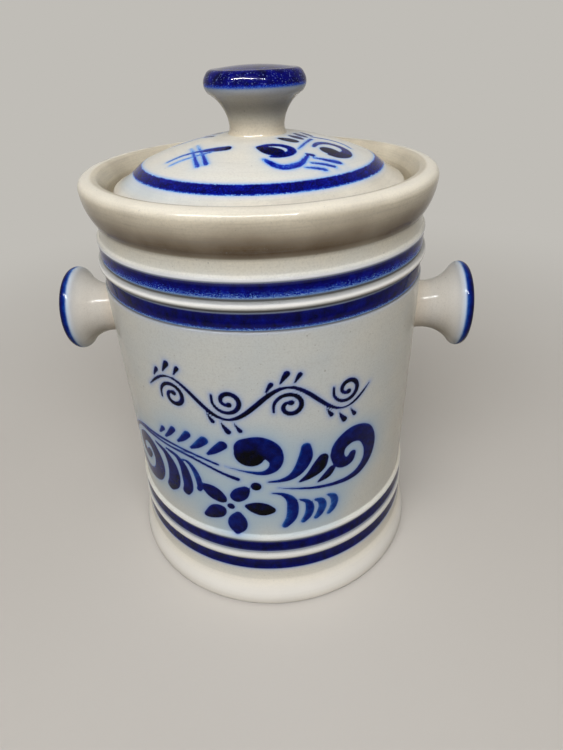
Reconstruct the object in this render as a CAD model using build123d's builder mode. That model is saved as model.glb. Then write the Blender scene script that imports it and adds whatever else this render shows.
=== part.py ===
# Two-handled salt-glazed crock with a drop-in lid, thrown in stoneware.
# Millimetres, +Z up. The origin is on the resting face, at the centre of the foot.
# The two side knobs lie on the X axis.
import os

from build123d import *

# Crock: overall height, wall and floor
crock_h = 242.9
wall_r = 89.2
wall_t = 7.4
floor_t = 9.0
heel_r = 12.0

# Crock: flared foot, with a shallow recess turned under it
foot_h = 19.8
foot_spread = 7.4
foot_top_step = 3.0
foot_bevel = 2.2
foot_ring_w = 18.0
foot_recess = 1.6

# Crock: lower ribs, read upwards from the foot
strip_h = 8.7
low_band_h = 8.2
low_rib_h = 6.4
low_rib_relief = 1.2
mid_band_h = 8.8
thin_rib_h = 5.0
thin_rib_relief = 1.3
low_lean = 1.6

# Crock: collar, neck and upper ribs, read downwards from the rim
collar_h = 20.9
collar_overhang = 3.0
neck_h = 7.3
neck_recess = 2.1
neck_dish = 0.3
bead_h = 2.8
bead_relief = 0.9
band_recess = 0.8
top_band_h = 7.4
groove_h = 1.4
groove_depth = 0.9
top_rib_h = 3.8
top_rib_relief = 1.0
low_top_band_h = 8.2
line_h = 1.0
line_depth = 0.5

# Crock: rounded rim, and the gallery inside the collar that carries the lid
rim_edge_drop = 0.6
crown_drop = 0.3
rim_slope_w = 4.4
rim_slope_h = 6.4
rim_slope_dish = 0.4
gallery_inset = 3.4
gallery_draft = 0.5
ledge_w = 8.4
ledge_depth = 12.2
ledge_t = 9.0
ledge_root_h = 15.0
lip_round = 1.4

# Lid: flange, painted stripe, dome and the hollow under it
lid_play = 2.4
seat_gap = 0.3
flange_t = 4.7
flange_round = 1.5
flange_w = 11.1
flange_rise = 6.2
flange_dish = 0.5
stripe_w = 4.8
stripe_rise = 3.4
dome_rise = 11.8
dome_bulge = 1.5
lid_t = 6.4
hollow_inset = 3.0

# Knobs: a trumpet shape, once on the lid and twice on the wall
lid_knob_l = 30.0
lid_knob_neck_r = 13.5
lid_knob_head_r = 25.2
side_knob_l = 30.8
side_knob_neck_r = 13.6
side_knob_head_r = 25.0
side_knob_drop = 82.8
slip_fillet = 2.4
knob_bed = 3.0

# Places on the outlines, as shares of the sizes that they follow
middle_share = 0.5
sole_round_share = 0.3
foot_round_share = 0.12
root_hollow_share = 0.3
collar_belly_shares = (0.70, 0.45)
collar_shoulder_share = 0.75
crown_start_share = 0.62
shoulder_round_shares = (0.78, 0.69)
lip_round_share = 0.2
ledge_swell_share = 0.62
hollow_heel_shares = (0.78, 0.55)
hollow_round_shares = (0.92, 0.30)

# Places on a knob: share of its length, then share of the spread from neck to head
neck_end_shares = (0.12, 0.04)
lid_knob_shares = ((0.36, 0.22), (0.61, 0.84), (0.74, 1.0), (0.87, 0.90))
side_knob_shares = ((0.45, 0.22), (0.72, 0.86), (0.83, 1.0), (0.93, 0.90))
crown_shares = (0.95, 0.78)

# What follows from the sizes above
inner_r = wall_r - wall_t
neck_r = wall_r - neck_recess
band_r = wall_r - band_recess
rim_r = wall_r + collar_overhang
lean_r = wall_r + low_lean
foot_r = wall_r + foot_spread
foot_top_r = wall_r + foot_top_step
floor_z = foot_recess + floor_t
gallery_r = inner_r - gallery_inset
mouth_r = gallery_r - ledge_w
ledge_z = crock_h - ledge_depth
lid_r = gallery_r - lid_play
seat_z = ledge_z + seat_gap
flange_z = seat_z + flange_t
lid_top_z = flange_z + flange_rise + stripe_rise + dome_rise
pad_r = lid_knob_neck_r + slip_fillet
side_knob_z = crock_h - side_knob_drop

os.makedirs("parts", exist_ok=True)


def between(low, high, share):
    """The number that lies at a share of the way from low to high."""
    return low + (high - low) * share


def bulge(start, end, out=0, up=0):
    """An arc from start to end whose middle stands off the chord by out and up."""
    middle_r = between(start[0], end[0], middle_share)
    middle_z = between(start[1], end[1], middle_share)
    return ThreePointArc(start, (middle_r + out, middle_z + up), end)


def cap(edge_r, edge_z, top_z):
    """An arc from the edge up to the axis, level where it meets the axis."""
    rise = top_z - edge_z
    RadiusArc((0, top_z), (edge_r, edge_z), (edge_r**2 + rise**2) / (2 * rise))


def lower_ribs():
    """The outside from the foot's top line up through the lower bands and ribs."""
    strip_z = foot_h + strip_h
    rib_z = strip_z + low_band_h
    band_z = rib_z + low_rib_h
    thin_z = band_z + mid_band_h
    wall_z = thin_z + thin_rib_h
    strip_r = between(lean_r, foot_top_r, middle_share)
    mid_r = between(wall_r, lean_r, middle_share)
    Line((foot_top_r, foot_h), (strip_r, strip_z))
    Line((strip_r, strip_z), (lean_r, rib_z))
    bulge((lean_r, rib_z), (lean_r, band_z), out=low_rib_relief)
    Line((lean_r, band_z), (mid_r, thin_z))
    bulge((mid_r, thin_z), (wall_r, wall_z), out=thin_rib_relief)
    return wall_z


def upper_ribs(wall_z):
    """The plain wall above wall_z, then the upper bands and ribs up to the collar's crease."""
    crease_z = crock_h - collar_h
    neck_z = crease_z - neck_h
    bead_z = neck_z - bead_h
    upper_groove_z = bead_z - top_band_h
    rib_top_z = upper_groove_z - groove_h
    rib_foot_z = rib_top_z - top_rib_h
    lower_groove_z = rib_foot_z - groove_h
    band_z = lower_groove_z - low_top_band_h
    line_z = band_z - line_h
    Line((wall_r, wall_z), (wall_r, line_z))
    bulge((wall_r, line_z), (band_r, band_z), out=-line_depth)
    Line((band_r, band_z), (band_r, lower_groove_z))
    bulge((band_r, lower_groove_z), (wall_r, rib_foot_z), out=-groove_depth)
    bulge((wall_r, rib_foot_z), (wall_r, rib_top_z), out=top_rib_relief)
    bulge((wall_r, rib_top_z), (band_r, upper_groove_z), out=-groove_depth)
    Line((band_r, upper_groove_z), (band_r, bead_z))
    bulge((band_r, bead_z), (neck_r, neck_z), out=bead_relief)
    bulge((neck_r, neck_z), (neck_r, crease_z), out=-neck_dish)
    return crease_z


def collar(crease_z):
    """The collar: from its crease over the rounded rim and down inside to the ledge."""
    rim_in = (gallery_r + rim_slope_w, crock_h - rim_edge_drop)
    shoulder_z = between(crease_z, crock_h, collar_shoulder_share)
    crown = (between(rim_in[0], rim_r, crown_start_share), crock_h - crown_drop)
    belly_r = between(neck_r, rim_r, collar_belly_shares[0])
    belly_z = between(crease_z, shoulder_z, collar_belly_shares[1])
    round_r = between(crown[0], rim_r, shoulder_round_shares[0])
    round_z = between(shoulder_z, crown[1], shoulder_round_shares[1])
    slope_foot = (gallery_r + gallery_draft, rim_in[1] - rim_slope_h)
    ThreePointArc((neck_r, crease_z), (belly_r, belly_z), (rim_r, shoulder_z))
    ThreePointArc((rim_r, shoulder_z), (round_r, round_z), crown)
    ThreePointArc(crown, (between(rim_in[0], crown[0], middle_share), crock_h), rim_in)
    bulge(rim_in, slope_foot, out=-rim_slope_dish)
    Line(slope_foot, (gallery_r, ledge_z))


def crock_inside():
    """The inside: ledge, its rounded lip, the swell under it, then wall, heel and floor."""
    lip_top = (mouth_r + lip_round, ledge_z)
    lip_side = (mouth_r, ledge_z - lip_round)
    under_z = ledge_z - ledge_t
    root_z = under_z - ledge_root_h
    swell = (between(mouth_r, inner_r, ledge_swell_share), between(under_z, root_z, middle_share))
    heel = (inner_r, floor_z + heel_r)
    Line((gallery_r, ledge_z), lip_top)
    bulge(lip_top, lip_side, out=-lip_round * lip_round_share, up=lip_round * lip_round_share)
    Line(lip_side, (mouth_r, under_z))
    ThreePointArc((mouth_r, under_z), swell, (inner_r, root_z))
    Line((inner_r, root_z), heel)
    RadiusArc(heel, (inner_r - heel_r, floor_z), heel_r)
    Line((inner_r - heel_r, floor_z), (0, floor_z))


def foot():
    """The underside and the flared side of the foot, from the axis out to its top line."""
    ring_r = foot_r - foot_ring_w
    sole_r = foot_r - foot_bevel
    Line((0, floor_z), (0, foot_recess))
    Line((0, foot_recess), (ring_r - foot_recess, foot_recess))
    Line((ring_r - foot_recess, foot_recess), (ring_r, 0))
    Line((ring_r, 0), (sole_r, 0))
    bulge((sole_r, 0), (foot_r, foot_bevel), out=foot_bevel * sole_round_share)
    bulge((foot_r, foot_bevel), (foot_top_r, foot_h), out=foot_spread * foot_round_share)


def knob_outline(length, neck_r, head_r, root_r, bed, places):
    """Half of a trumpet knob along the sketch's Y axis, with its seat at y = 0."""
    points = [(between(neck_r, head_r, spread), length * along) for along, spread in places]
    throat, under, edge, shoulder = points
    neck_end = (between(neck_r, head_r, neck_end_shares[1]), length * neck_end_shares[0])
    crown = (head_r * crown_shares[1], length * crown_shares[0])
    Line((0, length), (0, -bed))
    Line((0, -bed), (root_r, -bed))
    bulge((root_r, -bed), neck_end, out=-(root_r - neck_end[0]) * root_hollow_share)
    ThreePointArc(neck_end, throat, under)
    rim = ThreePointArc(under, edge, shoulder)
    TangentArc(shoulder, crown, tangent=rim % 1)
    cap(crown[0], crown[1], length)


with BuildPart() as crock:
    with BuildSketch(Plane.XZ):
        with BuildLine():
            foot()
            collar(upper_ribs(lower_ribs()))
            crock_inside()
        make_face()
    revolve(axis=Axis.Z)
crock.part.label = "crock"
export_step(crock.part, "parts/crock.step")

with BuildPart() as lid:
    stripe_out = (lid_r - flange_w, flange_z + flange_rise)
    stripe_in = (stripe_out[0] - stripe_w, stripe_out[1] + stripe_rise)
    hollow_r = mouth_r - hollow_inset
    hollow_z = lid_top_z - lid_t
    heel = (hollow_r * hollow_heel_shares[0], between(seat_z, hollow_z, hollow_heel_shares[1]))
    turn = (hollow_r * hollow_round_shares[0], between(seat_z, hollow_z, hollow_round_shares[1]))
    with BuildSketch(Plane.XZ):
        with BuildLine():
            Line((hollow_r, seat_z), (lid_r - flange_round, seat_z))
            RadiusArc((lid_r - flange_round, seat_z), (lid_r, seat_z + flange_round), -flange_round)
            Line((lid_r, seat_z + flange_round), (lid_r, flange_z - flange_round))
            RadiusArc((lid_r, flange_z - flange_round), (lid_r - flange_round, flange_z), -flange_round)
            bulge((lid_r - flange_round, flange_z), stripe_out, up=-flange_dish)
            Line(stripe_out, stripe_in)
            bulge(stripe_in, (pad_r, lid_top_z), up=dome_bulge)
            Line((pad_r, lid_top_z), (0, lid_top_z))
            Line((0, lid_top_z), (0, hollow_z))
            cap(heel[0], heel[1], hollow_z)
            ThreePointArc(heel, turn, (hollow_r, seat_z))
        make_face()
    revolve(axis=Axis.Z)
lid.part.label = "lid"
export_step(lid.part, "parts/lid.step")

with BuildPart() as lid_knob:
    with BuildSketch(Plane((0, 0, lid_top_z), x_dir=(1, 0, 0), z_dir=(0, -1, 0))):
        with BuildLine():
            knob_outline(lid_knob_l, lid_knob_neck_r, lid_knob_head_r, pad_r, 0, lid_knob_shares)
        make_face()
    revolve(axis=Axis.Z)
lid_knob.part.label = "lid_knob"
export_step(lid_knob.part, "parts/lid_knob.step")

# The side knobs are cut to the round of the wall that they are stuck to
for name, side in (("side_knob_left", -1), ("side_knob_right", 1)):
    with BuildPart() as side_knob:
        seat = Plane((side * wall_r, 0, side_knob_z), x_dir=(0, 0, 1), z_dir=(0, side, 0))
        root_r = side_knob_neck_r + slip_fillet
        with BuildSketch(seat):
            with BuildLine():
                knob_outline(side_knob_l, side_knob_neck_r, side_knob_head_r, root_r, knob_bed,
                             side_knob_shares)
            make_face()
        revolve(axis=Axis((0, 0, side_knob_z), (1, 0, 0)))
        with Locations((0, 0, side_knob_z)):
            Cylinder(wall_r, 2 * side_knob_head_r, mode=Mode.SUBTRACT)
    side_knob.part.label = name
    export_step(side_knob.part, f"parts/{name}.step")
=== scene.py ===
"""Two-handled salt-glazed crock with a drop-in lid: its surfaces, its glaze and its painted decoration.

Every form here is thrown, so it is an outline carried round an axis. Outlines, places and brush
strokes are in millimetres, and become metres where a mesh is made. Angles on the wall are measured
from the painted front, which faces -Y, and grow towards +X.
"""

import logging
import math
from collections.abc import Sequence
from dataclasses import dataclass, field
from enum import Enum

import bpy
import numpy as np
from mathutils import Matrix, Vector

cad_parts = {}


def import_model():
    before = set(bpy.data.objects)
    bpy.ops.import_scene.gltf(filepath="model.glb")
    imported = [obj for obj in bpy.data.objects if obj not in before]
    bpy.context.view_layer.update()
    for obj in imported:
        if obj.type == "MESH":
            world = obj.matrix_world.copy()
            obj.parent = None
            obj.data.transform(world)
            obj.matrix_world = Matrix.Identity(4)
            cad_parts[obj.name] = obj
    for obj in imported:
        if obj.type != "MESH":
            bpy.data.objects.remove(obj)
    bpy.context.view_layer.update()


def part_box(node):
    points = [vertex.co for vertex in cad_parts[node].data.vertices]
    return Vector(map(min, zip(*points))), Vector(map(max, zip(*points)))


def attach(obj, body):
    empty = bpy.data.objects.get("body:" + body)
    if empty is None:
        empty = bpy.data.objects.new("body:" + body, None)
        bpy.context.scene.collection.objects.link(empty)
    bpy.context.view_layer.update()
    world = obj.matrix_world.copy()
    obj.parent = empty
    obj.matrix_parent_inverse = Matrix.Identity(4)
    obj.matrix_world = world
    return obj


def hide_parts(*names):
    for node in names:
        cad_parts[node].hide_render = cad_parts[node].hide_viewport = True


MM = 0.001
# How far the middle of a quarter circle stands off its chord, out and up, for a radius of 1.
QUARTER = 0.2071
Point = tuple[float, float]
Dab = tuple[float, float, float]
Socket = bpy.types.NodeSocket
Tree = bpy.types.NodeTree

log = logging.getLogger("crock")


def linear(hex_code: str) -> tuple[float, float, float, float]:
    """Turns an sRGB hex colour into linear light.

    Args:
        hex_code: the colour as "#RRGGBB".

    Returns:
        Red, green and blue in linear light, and an alpha of 1.
    """
    channels = [int(hex_code[i : i + 2], 16) / 255 for i in (1, 3, 5)]
    red, green, blue = (c / 12.92 if c <= 0.04045 else ((c + 0.055) / 1.055) ** 2.4 for c in channels)
    return red, green, blue, 1.0


def add(
    tree: Tree,
    kind: str,
    inputs: dict[int | str, object] | None = None,
    out: int | str = 0,
    **settings: object,
) -> Socket | None:
    """Adds a shader node with its settings, its values and its links.

    Args:
        tree: the node tree that takes it.
        kind: the node's type name, without the ShaderNode before it.
        inputs: socket name or number, with a value or another node's output.
        out: the output that the caller goes on with.
        settings: the node's own properties.

    Returns:
        The chosen output, or None where the node has none.
    """
    node = tree.nodes.new("ShaderNode" + kind)
    for name, value in settings.items():
        setattr(node, name, value)
    for name, value in (inputs or {}).items():
        if isinstance(value, Socket):
            tree.links.new(value, node.inputs[name])
        else:
            node.inputs[name].default_value = value
    return node.outputs[out] if node.outputs else None


def fresh_tree(owner: bpy.types.Material | bpy.types.World) -> Tree:
    """Gives a material or a world an empty node tree.

    Args:
        owner: what takes it.

    Returns:
        The tree.
    """
    owner.use_nodes = True
    owner.node_tree.nodes.clear()
    return owner.node_tree


def put(name: str, data: bpy.types.ID) -> bpy.types.Object:
    """Makes an object at the origin and puts it in the scene.

    Args:
        name: the object's name.
        data: its mesh, lamp or camera.

    Returns:
        The object.
    """
    made = bpy.data.objects.new(name, data)
    bpy.context.scene.collection.objects.link(made)
    return made


def facing(right: np.ndarray, top: np.ndarray, back: np.ndarray, place: Sequence[float]) -> Matrix:
    """How a thing stands whose own axes point the given ways.

    Args:
        right: its X axis, of length 1.
        top: its Y axis.
        back: its Z axis, which a camera or a lamp has behind it.
        place: where it stands, in metres.

    Returns:
        The matrix.
    """
    matrix = np.eye(4)
    matrix[:3, :3] = np.stack([right, top, back], axis=1)
    matrix[:3, 3] = place
    return Matrix(matrix)


class Lamp(Enum):
    """What a lamp is for: the even light on the glaze, or a highlight in its gloss alone."""

    LIGHT = "light"
    GLINT = "glint"


class Grain(Enum):
    """The axis that a form turned on, which its throwing lines run round."""

    UPRIGHT = "Z"
    SIDEWAYS = "X"


@dataclass(frozen=True)
class Cobalt:
    """Cobalt oxide brushed on before the salt firing. It melts into the glaze, so it is glossy, near
    black where it lies thick, ultramarine where it is thin, and it bleeds a pale blue halo. A span is
    the two levels of a noise or a mark between which its effect grows."""

    stops: tuple[float, ...] = (0.0, 0.2, 0.38, 0.55, 0.72, 0.88, 1.0)
    brushed: tuple[str, ...] = (
        "#9CC0E4", "#3C6FB4", "#0E3E8C", "#00186E", "#000650", "#000226", "#000004"
    )
    banded: tuple[str, ...] = (
        "#B4D4F2", "#5C98E2", "#1844C0", "#04129C", "#00026A", "#000134", "#000008"
    )
    halo_hex: str = "#7592CC"
    wash_hex: str = "#9FBACB"
    speck_hex: str = "#8FA6E8"
    halo_mm: float = 1.0
    halo_share: float = 0.75
    rim_share: float = 0.16
    dust_span: Point = (0.15, 0.4)
    sand_span: Point = (0.28, 0.75)
    sand_tone: float = 0.1
    sand_swing: float = 1.7
    edge_mm: float = 0.2
    depth_mm: float = 1.2
    fray_depth: float = 0.8
    fray_swing: float = 1.1
    grain_mm: float = 0.38
    grain_share: float = 0.3
    drift_mm: float = 4.0
    drift_share: float = 0.5
    speck_mm: float = 1.1
    speck_span: Point = (0.62, 0.72)
    speck_share: float = 0.0
    roughness: float = 0.09
    relief_mm: float = 0.05


@dataclass(frozen=True)
class SaltGlaze:
    """Salt-glazed stoneware, thrown. The salt leaves a thin glassy skin, pitted like orange peel, over
    faint throwing lines, and it drifts between a cool grey and a warm cream. The specular level is
    low, because the room round it is pale and would veil the blue."""

    name: str
    cool: str = "#C3CBCC"
    warm: str = "#E4DBC4"
    # Tan of the collar's lower half: partly the glaze's own colour, partly painted shade.
    tan: str = "#6F5C45"
    dark: str = "#8E8A80"
    # Pale of the ridges: partly thin glaze, partly a painted highlight.
    pale: str = "#FAF8F0"
    # Painted shade in the grooves, under the bead and on the lid knob's waist, partly pooled glaze.
    crease: str = "#4E4D48"
    clay: str = "#C4B08E"
    warm_stop: float = 0.55
    ior: float = 1.5
    specular: float = 0.075
    roughness: float = 0.13
    bare_roughness: float = 0.45
    peel_mm: float = 1.3
    peel_depth_mm: float = 0.007
    throw_mm: float = 0.8
    throw_run_mm: float = 24.0
    throw_depth_mm: float = 0.002
    cloud_mm: float = 26.0
    cloud_share: float = 0.3
    streak_mm: float = 2.6
    streak_span: Point = (0.48, 0.78)
    streak_shares: Point = (0.378, 0.336)
    calm_warmth: float = 0.3
    calm_share: float = 0.15
    mottle_mm: float = 0.9
    mottle_span: Point = (0.45, 0.75)
    mottle_share: float = 0.2
    pit_mm: float = 1.7
    pit_span: Point = (0.75, 0.79)
    pit_share: float = 0.5
    grain: Grain = Grain.UPRIGHT
    cobalt: Cobalt = field(default_factory=Cobalt)

    def body(self, tree: Tree, place: Socket) -> tuple[Socket, Socket]:
        """The glazed clay without its paint.

        Args:
            tree: the material's nodes.
            place: object coordinates, in metres.

        Returns:
            The colour, and the height of its skin in millimetres.
        """
        fine, run = 1 / (self.throw_mm * MM), 1 / (self.throw_run_mm * MM)
        scale = (run, run, fine) if self.grain is Grain.UPRIGHT else (fine, run, run)
        along = add(tree, "Mapping", {"Vector": place, "Scale": scale})
        lines, wide, cloud, peel, grains, pits = (
            add(tree, "TexNoise", {"Vector": vector, "Scale": repeats, "Detail": detail})
            for vector, repeats, detail in (
                (along, 1.0, 3.0),
                (along, self.throw_mm / self.streak_mm, 4.0),
                (place, 1 / (self.cloud_mm * MM), 4.0),
                (place, 1 / (self.peel_mm * MM), 2.0),
                (place, 1 / (self.mottle_mm * MM), 3.0),
                (place, 1 / (self.pit_mm * MM), 1.0),
            )
        )
        warmth, bare, ridge = (
            add(tree, "Attribute", out="Fac", attribute_name=mark) for mark in ("warmth", "bare", "ridge")
        )
        drift = add(tree, "Math", {0: cloud, 1: 0.5}, operation="SUBTRACT")
        inputs = {0: drift, 1: self.cloud_share, 2: warmth}
        share = add(tree, "Math", inputs, operation="MULTIPLY_ADD", use_clamp=True)
        colour = add(tree, "ValToRGB", {"Fac": share})
        ramp = colour.node.color_ramp
        ramp.elements.new(self.warm_stop)
        for element, hex_code in zip(ramp.elements, (self.cool, self.warm, self.tan)):
            element.color = linear(hex_code)
        inputs = {"Value": warmth, "From Min": self.calm_warmth, "To Min": self.calm_share}
        strength = add(tree, "MapRange", inputs)
        shares = [
            add(tree, "MapRange", {"Value": noise, "From Min": low, "From Max": high, "To Max": most})
            for noise, (low, high), most in (
                (lines, self.streak_span, self.streak_shares[0]),
                (wide, self.streak_span, self.streak_shares[1]),
                (grains, self.mottle_span, self.mottle_share),
                (pits, self.pit_span, self.pit_share),
            )
        ]
        lined = [add(tree, "Math", {0: share, 1: strength}, operation="MULTIPLY") for share in shares[:2]]
        layers = [(share, self.dark) for share in (*lined, *shares[2:])]
        # The ridge mark whitens towards pale: partly thin glaze, partly a painted highlight.
        for share, hex_code in (*layers, (bare, self.clay), (ridge, self.pale)):
            colour = add(tree, "Mix", {0: share, 6: colour, 7: linear(hex_code)}, out=2, data_type="RGBA")
        skin = add(tree, "Math", {0: peel, 1: self.peel_depth_mm}, operation="MULTIPLY")
        inputs = {0: lines, 1: self.throw_depth_mm, 2: skin}
        return colour, add(tree, "Math", inputs, operation="MULTIPLY_ADD")

    def paint(self, tree: Tree, place: Socket, body: Socket) -> tuple[Socket, Socket]:
        """The brushwork, from the distance to the nearest stroke's centreline and its half width.

        Args:
            tree: the material's nodes.
            place: object coordinates, in metres.
            body: the colour of the glaze that it is painted on.

        Returns:
            The colour of both, and the share of the surface that the cobalt covers.
        """
        c = self.cobalt
        reach, width, tone, fray, breath = (
            add(tree, "Attribute", out="Fac", attribute_name=mark)
            for mark in ("reach", "width", "tone", "fray", "wash")
        )
        grain, drift, specks = (
            add(tree, "TexNoise", {"Vector": place, "Scale": 1 / (size * MM), "Detail": detail})
            for size, detail in ((c.grain_mm, 2.0), (c.drift_mm, 3.0), (c.speck_mm, 1.0))
        )
        grain, drift = (
            add(tree, "Math", {0: noise, 1: 0.5}, operation="SUBTRACT") for noise in (grain, drift)
        )
        away = add(tree, "Math", {0: reach}, operation="SQRT")
        away = add(tree, "Math", {0: away, 1: width}, operation="SUBTRACT")
        loose = add(tree, "Math", {0: fray, 1: c.fray_swing}, operation="MULTIPLY")
        loose = add(tree, "Math", {0: grain, 1: loose, 2: away}, operation="MULTIPLY_ADD")
        inputs = {"Value": loose, "From Min": c.edge_mm, "From Max": -c.edge_mm}
        cover = add(tree, "MapRange", inputs, interpolation_type="SMOOTHSTEP")
        depth = add(tree, "Math", {0: fray, 1: c.fray_depth, 2: c.depth_mm}, operation="MULTIPLY_ADD")
        depth = add(tree, "Math", {0: loose, 1: depth}, operation="DIVIDE")
        shore = add(tree, "MapRange", {"Value": depth, "From Min": -1.0, "From Max": 0.0})
        low, high = c.dust_span
        dusty = add(tree, "MapRange", {"Value": fray, "From Min": low, "From Max": high})
        sandy = add(tree, "Math", {0: shore, 1: dusty}, operation="MULTIPLY")
        rim = add(tree, "Math", {0: shore, 1: sandy}, operation="SUBTRACT")
        for change, share in ((drift, c.drift_share), (grain, c.grain_share), (rim, -c.rim_share)):
            tone = add(tree, "Math", {0: change, 1: share, 2: tone}, operation="MULTIPLY_ADD")
        swing = add(tree, "Math", {0: dusty, 1: c.sand_swing}, operation="MULTIPLY")
        sand = add(tree, "Math", {0: grain, 1: swing, 2: sandy}, operation="MULTIPLY_ADD")
        low, high = c.sand_span
        sand = add(tree, "MapRange", {"Value": sand, "From Min": low, "From Max": high})
        paler = add(tree, "Math", {0: c.sand_tone, 1: tone}, operation="SUBTRACT")
        tone = add(tree, "Math", {0: paler, 1: sand, 2: tone}, operation="MULTIPLY_ADD")
        ramps = []
        for hexes in (c.brushed, c.banded):
            pigment = add(tree, "ValToRGB", {"Fac": tone})
            ramp = pigment.node.color_ramp
            while len(ramp.elements) < len(c.stops):
                ramp.elements.new(1.0)
            for element, stop, hex_code in zip(ramp.elements, c.stops, hexes):
                element.position = stop
                element.color = linear(hex_code)
            ramps.append(pigment)
        low, high = c.speck_span
        inputs = {"Value": specks, "From Min": low, "From Max": high, "To Max": c.speck_share}
        specks = add(tree, "MapRange", inputs)
        halo = add(tree, "Math", {0: loose, 1: 0.0}, operation="MAXIMUM")
        halo = add(tree, "Math", {0: halo, 1: -1 / c.halo_mm}, operation="MULTIPLY")
        halo = add(tree, "Math", {0: halo}, operation="EXPONENT")
        halo = add(tree, "Math", {0: halo, 1: c.halo_share}, operation="MULTIPLY")
        pigment, ground = ramps[0], body
        for share, colour in ((dusty, ramps[1]), (specks, linear(c.speck_hex))):
            pigment = add(tree, "Mix", {0: share, 6: pigment, 7: colour}, out=2, data_type="RGBA")
        for share, hex_code in ((breath, c.wash_hex), (halo, c.halo_hex)):
            ground = add(tree, "Mix", {0: share, 6: ground, 7: linear(hex_code)}, out=2, data_type="RGBA")
        return add(tree, "Mix", {0: cover, 6: ground, 7: pigment}, out=2, data_type="RGBA"), cover

    def material(self) -> bpy.types.Material:
        """Builds the whole finish.

        Returns:
            The material: glaze, cobalt, gloss and skin.
        """
        made = bpy.data.materials.new(self.name)
        tree = fresh_tree(made)
        place = add(tree, "TexCoord", out="Object")
        body, skin = self.body(tree, place)
        colour, cover = self.paint(tree, place, body)
        crease, bare = (
            add(tree, "Attribute", out="Fac", attribute_name=mark) for mark in ("crease", "bare")
        )
        # Painted shade: the crease mark darkens the grooves, the bead's underside and the lid knob's
        # waist.
        inputs = {0: crease, 6: colour, 7: linear(self.crease)}
        colour = add(tree, "Mix", inputs, out=2, data_type="RGBA")
        inputs = {"Value": cover, "To Min": self.roughness, "To Max": self.cobalt.roughness}
        dull = add(tree, "MapRange", inputs)
        inputs = {0: bare, 1: self.bare_roughness, 2: dull}
        dull = add(tree, "Math", inputs, operation="MULTIPLY_ADD", use_clamp=True)
        skin = add(tree, "Math", {0: cover, 1: self.cobalt.relief_mm, 2: skin}, operation="MULTIPLY_ADD")
        normal = add(tree, "Bump", {"Height": skin, "Distance": MM, "Strength": 1.0})
        surface = add(
            tree,
            "BsdfPrincipled",
            {
                "Base Color": colour,
                "Roughness": dull,
                "Normal": normal,
                "IOR": self.ior,
                "Specular IOR Level": self.specular,
            },
        )
        add(tree, "OutputMaterial", {"Surface": surface})
        return made


class Pen:
    """Draws half of a thrown form, as points of radius and height in millimetres."""

    fine_mm = 0.1

    def __init__(self, start: Point) -> None:
        """Puts the pen down at a point."""
        self.runs: list[np.ndarray] = [np.array([start], float)]

    @property
    def here(self) -> np.ndarray:
        """Where the pen stands."""
        return self.runs[-1][-1]

    def line(self, end: Point) -> None:
        """Draws straight to a point: here plus a growing share of the way there.

        Args:
            end: where it stops.
        """
        way = np.array(end, float) - self.here
        count = max(2, int(np.hypot(*way) / self.fine_mm))
        self.runs.append(self.here + way * np.linspace(0, 1, count + 1)[1:, None])

    def arc(self, through: Point, end: Point) -> None:
        """Draws a circle's arc: equal turns about the centre that the three points give.

        Args:
            through: a point on the way.
            end: where it stops.
        """
        a, b, c = self.here, np.array(through, float), np.array(end, float)
        sides = 2 * np.array([b - a, c - a])
        centre = np.linalg.solve(sides, [b @ b - a @ a, c @ c - a @ a])
        radius = np.hypot(*(a - centre))
        first, last = (math.atan2(*(p - centre)[::-1]) for p in (a, c))
        turn = (b - a)[0] * (c - b)[1] - (b - a)[1] * (c - b)[0]
        sweep = (last - first) % math.tau if turn > 0 else -((first - last) % math.tau)
        count = max(2, int(abs(sweep) * radius / self.fine_mm))
        angle = first + sweep * np.linspace(0, 1, count + 1)[1:]
        self.runs.append(centre + radius * np.stack([np.cos(angle), np.sin(angle)], axis=1))

    def bulge(self, end: Point, out: float = 0.0, up: float = 0.0) -> None:
        """Draws an arc whose middle stands off the straight way by out and up.

        Args:
            end: where it stops.
            out: how far the middle moves away from the axis.
            up: how far the middle rises.
        """
        middle = (self.here + np.array(end, float)) / 2 + (out, up)
        self.arc((middle[0], middle[1]), end)

    def softened(self, soften_mm: float) -> np.ndarray:
        """The outline with its corners eased, as glaze does: evenly spaced points, each the mean of
        its neighbours weighted by a bell curve. The ends stay where they are.

        Args:
            soften_mm: the bell curve's width.

        Returns:
            The points, one row each.
        """
        rough = np.concatenate(self.runs)
        length = np.concatenate([[0.0], np.cumsum(np.hypot(*np.diff(rough, axis=0).T))])
        even = np.linspace(0, length[-1], int(length[-1] / self.fine_mm))
        points = np.stack([np.interp(even, length, rough[:, i]) for i in (0, 1)], axis=1)
        spread = soften_mm / self.fine_mm
        pad = int(4 * spread) + 1
        bell = np.exp(-0.5 * (np.arange(-pad, pad + 1) / spread) ** 2)
        head = 2 * points[0] - points[pad:0:-1]
        tail = 2 * points[-1] - points[-2 : -pad - 2 : -1]
        padded = np.concatenate([head, points, tail])
        smooth = [np.convolve(padded[:, i], bell / bell.sum(), mode="valid") for i in (0, 1)]
        points = np.stack(smooth, axis=1)
        points[:, 0] = np.maximum(points[:, 0], 0.0)
        return points


def on_cap(edge: Point, top: float) -> Point:
    """A point of the round cap that stands over the axis and ends at an edge, half as far out as the
    edge. The ball's radius comes from the cap's half chord and its height.

    Args:
        edge: where the cap ends.
        top: its height on the axis.

    Returns:
        The point.
    """
    high, half = top - edge[1], edge[0] / 2
    ball = (edge[0] ** 2 + high**2) / (2 * high)
    return half, top - ball + math.sqrt(ball**2 - half**2)


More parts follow.
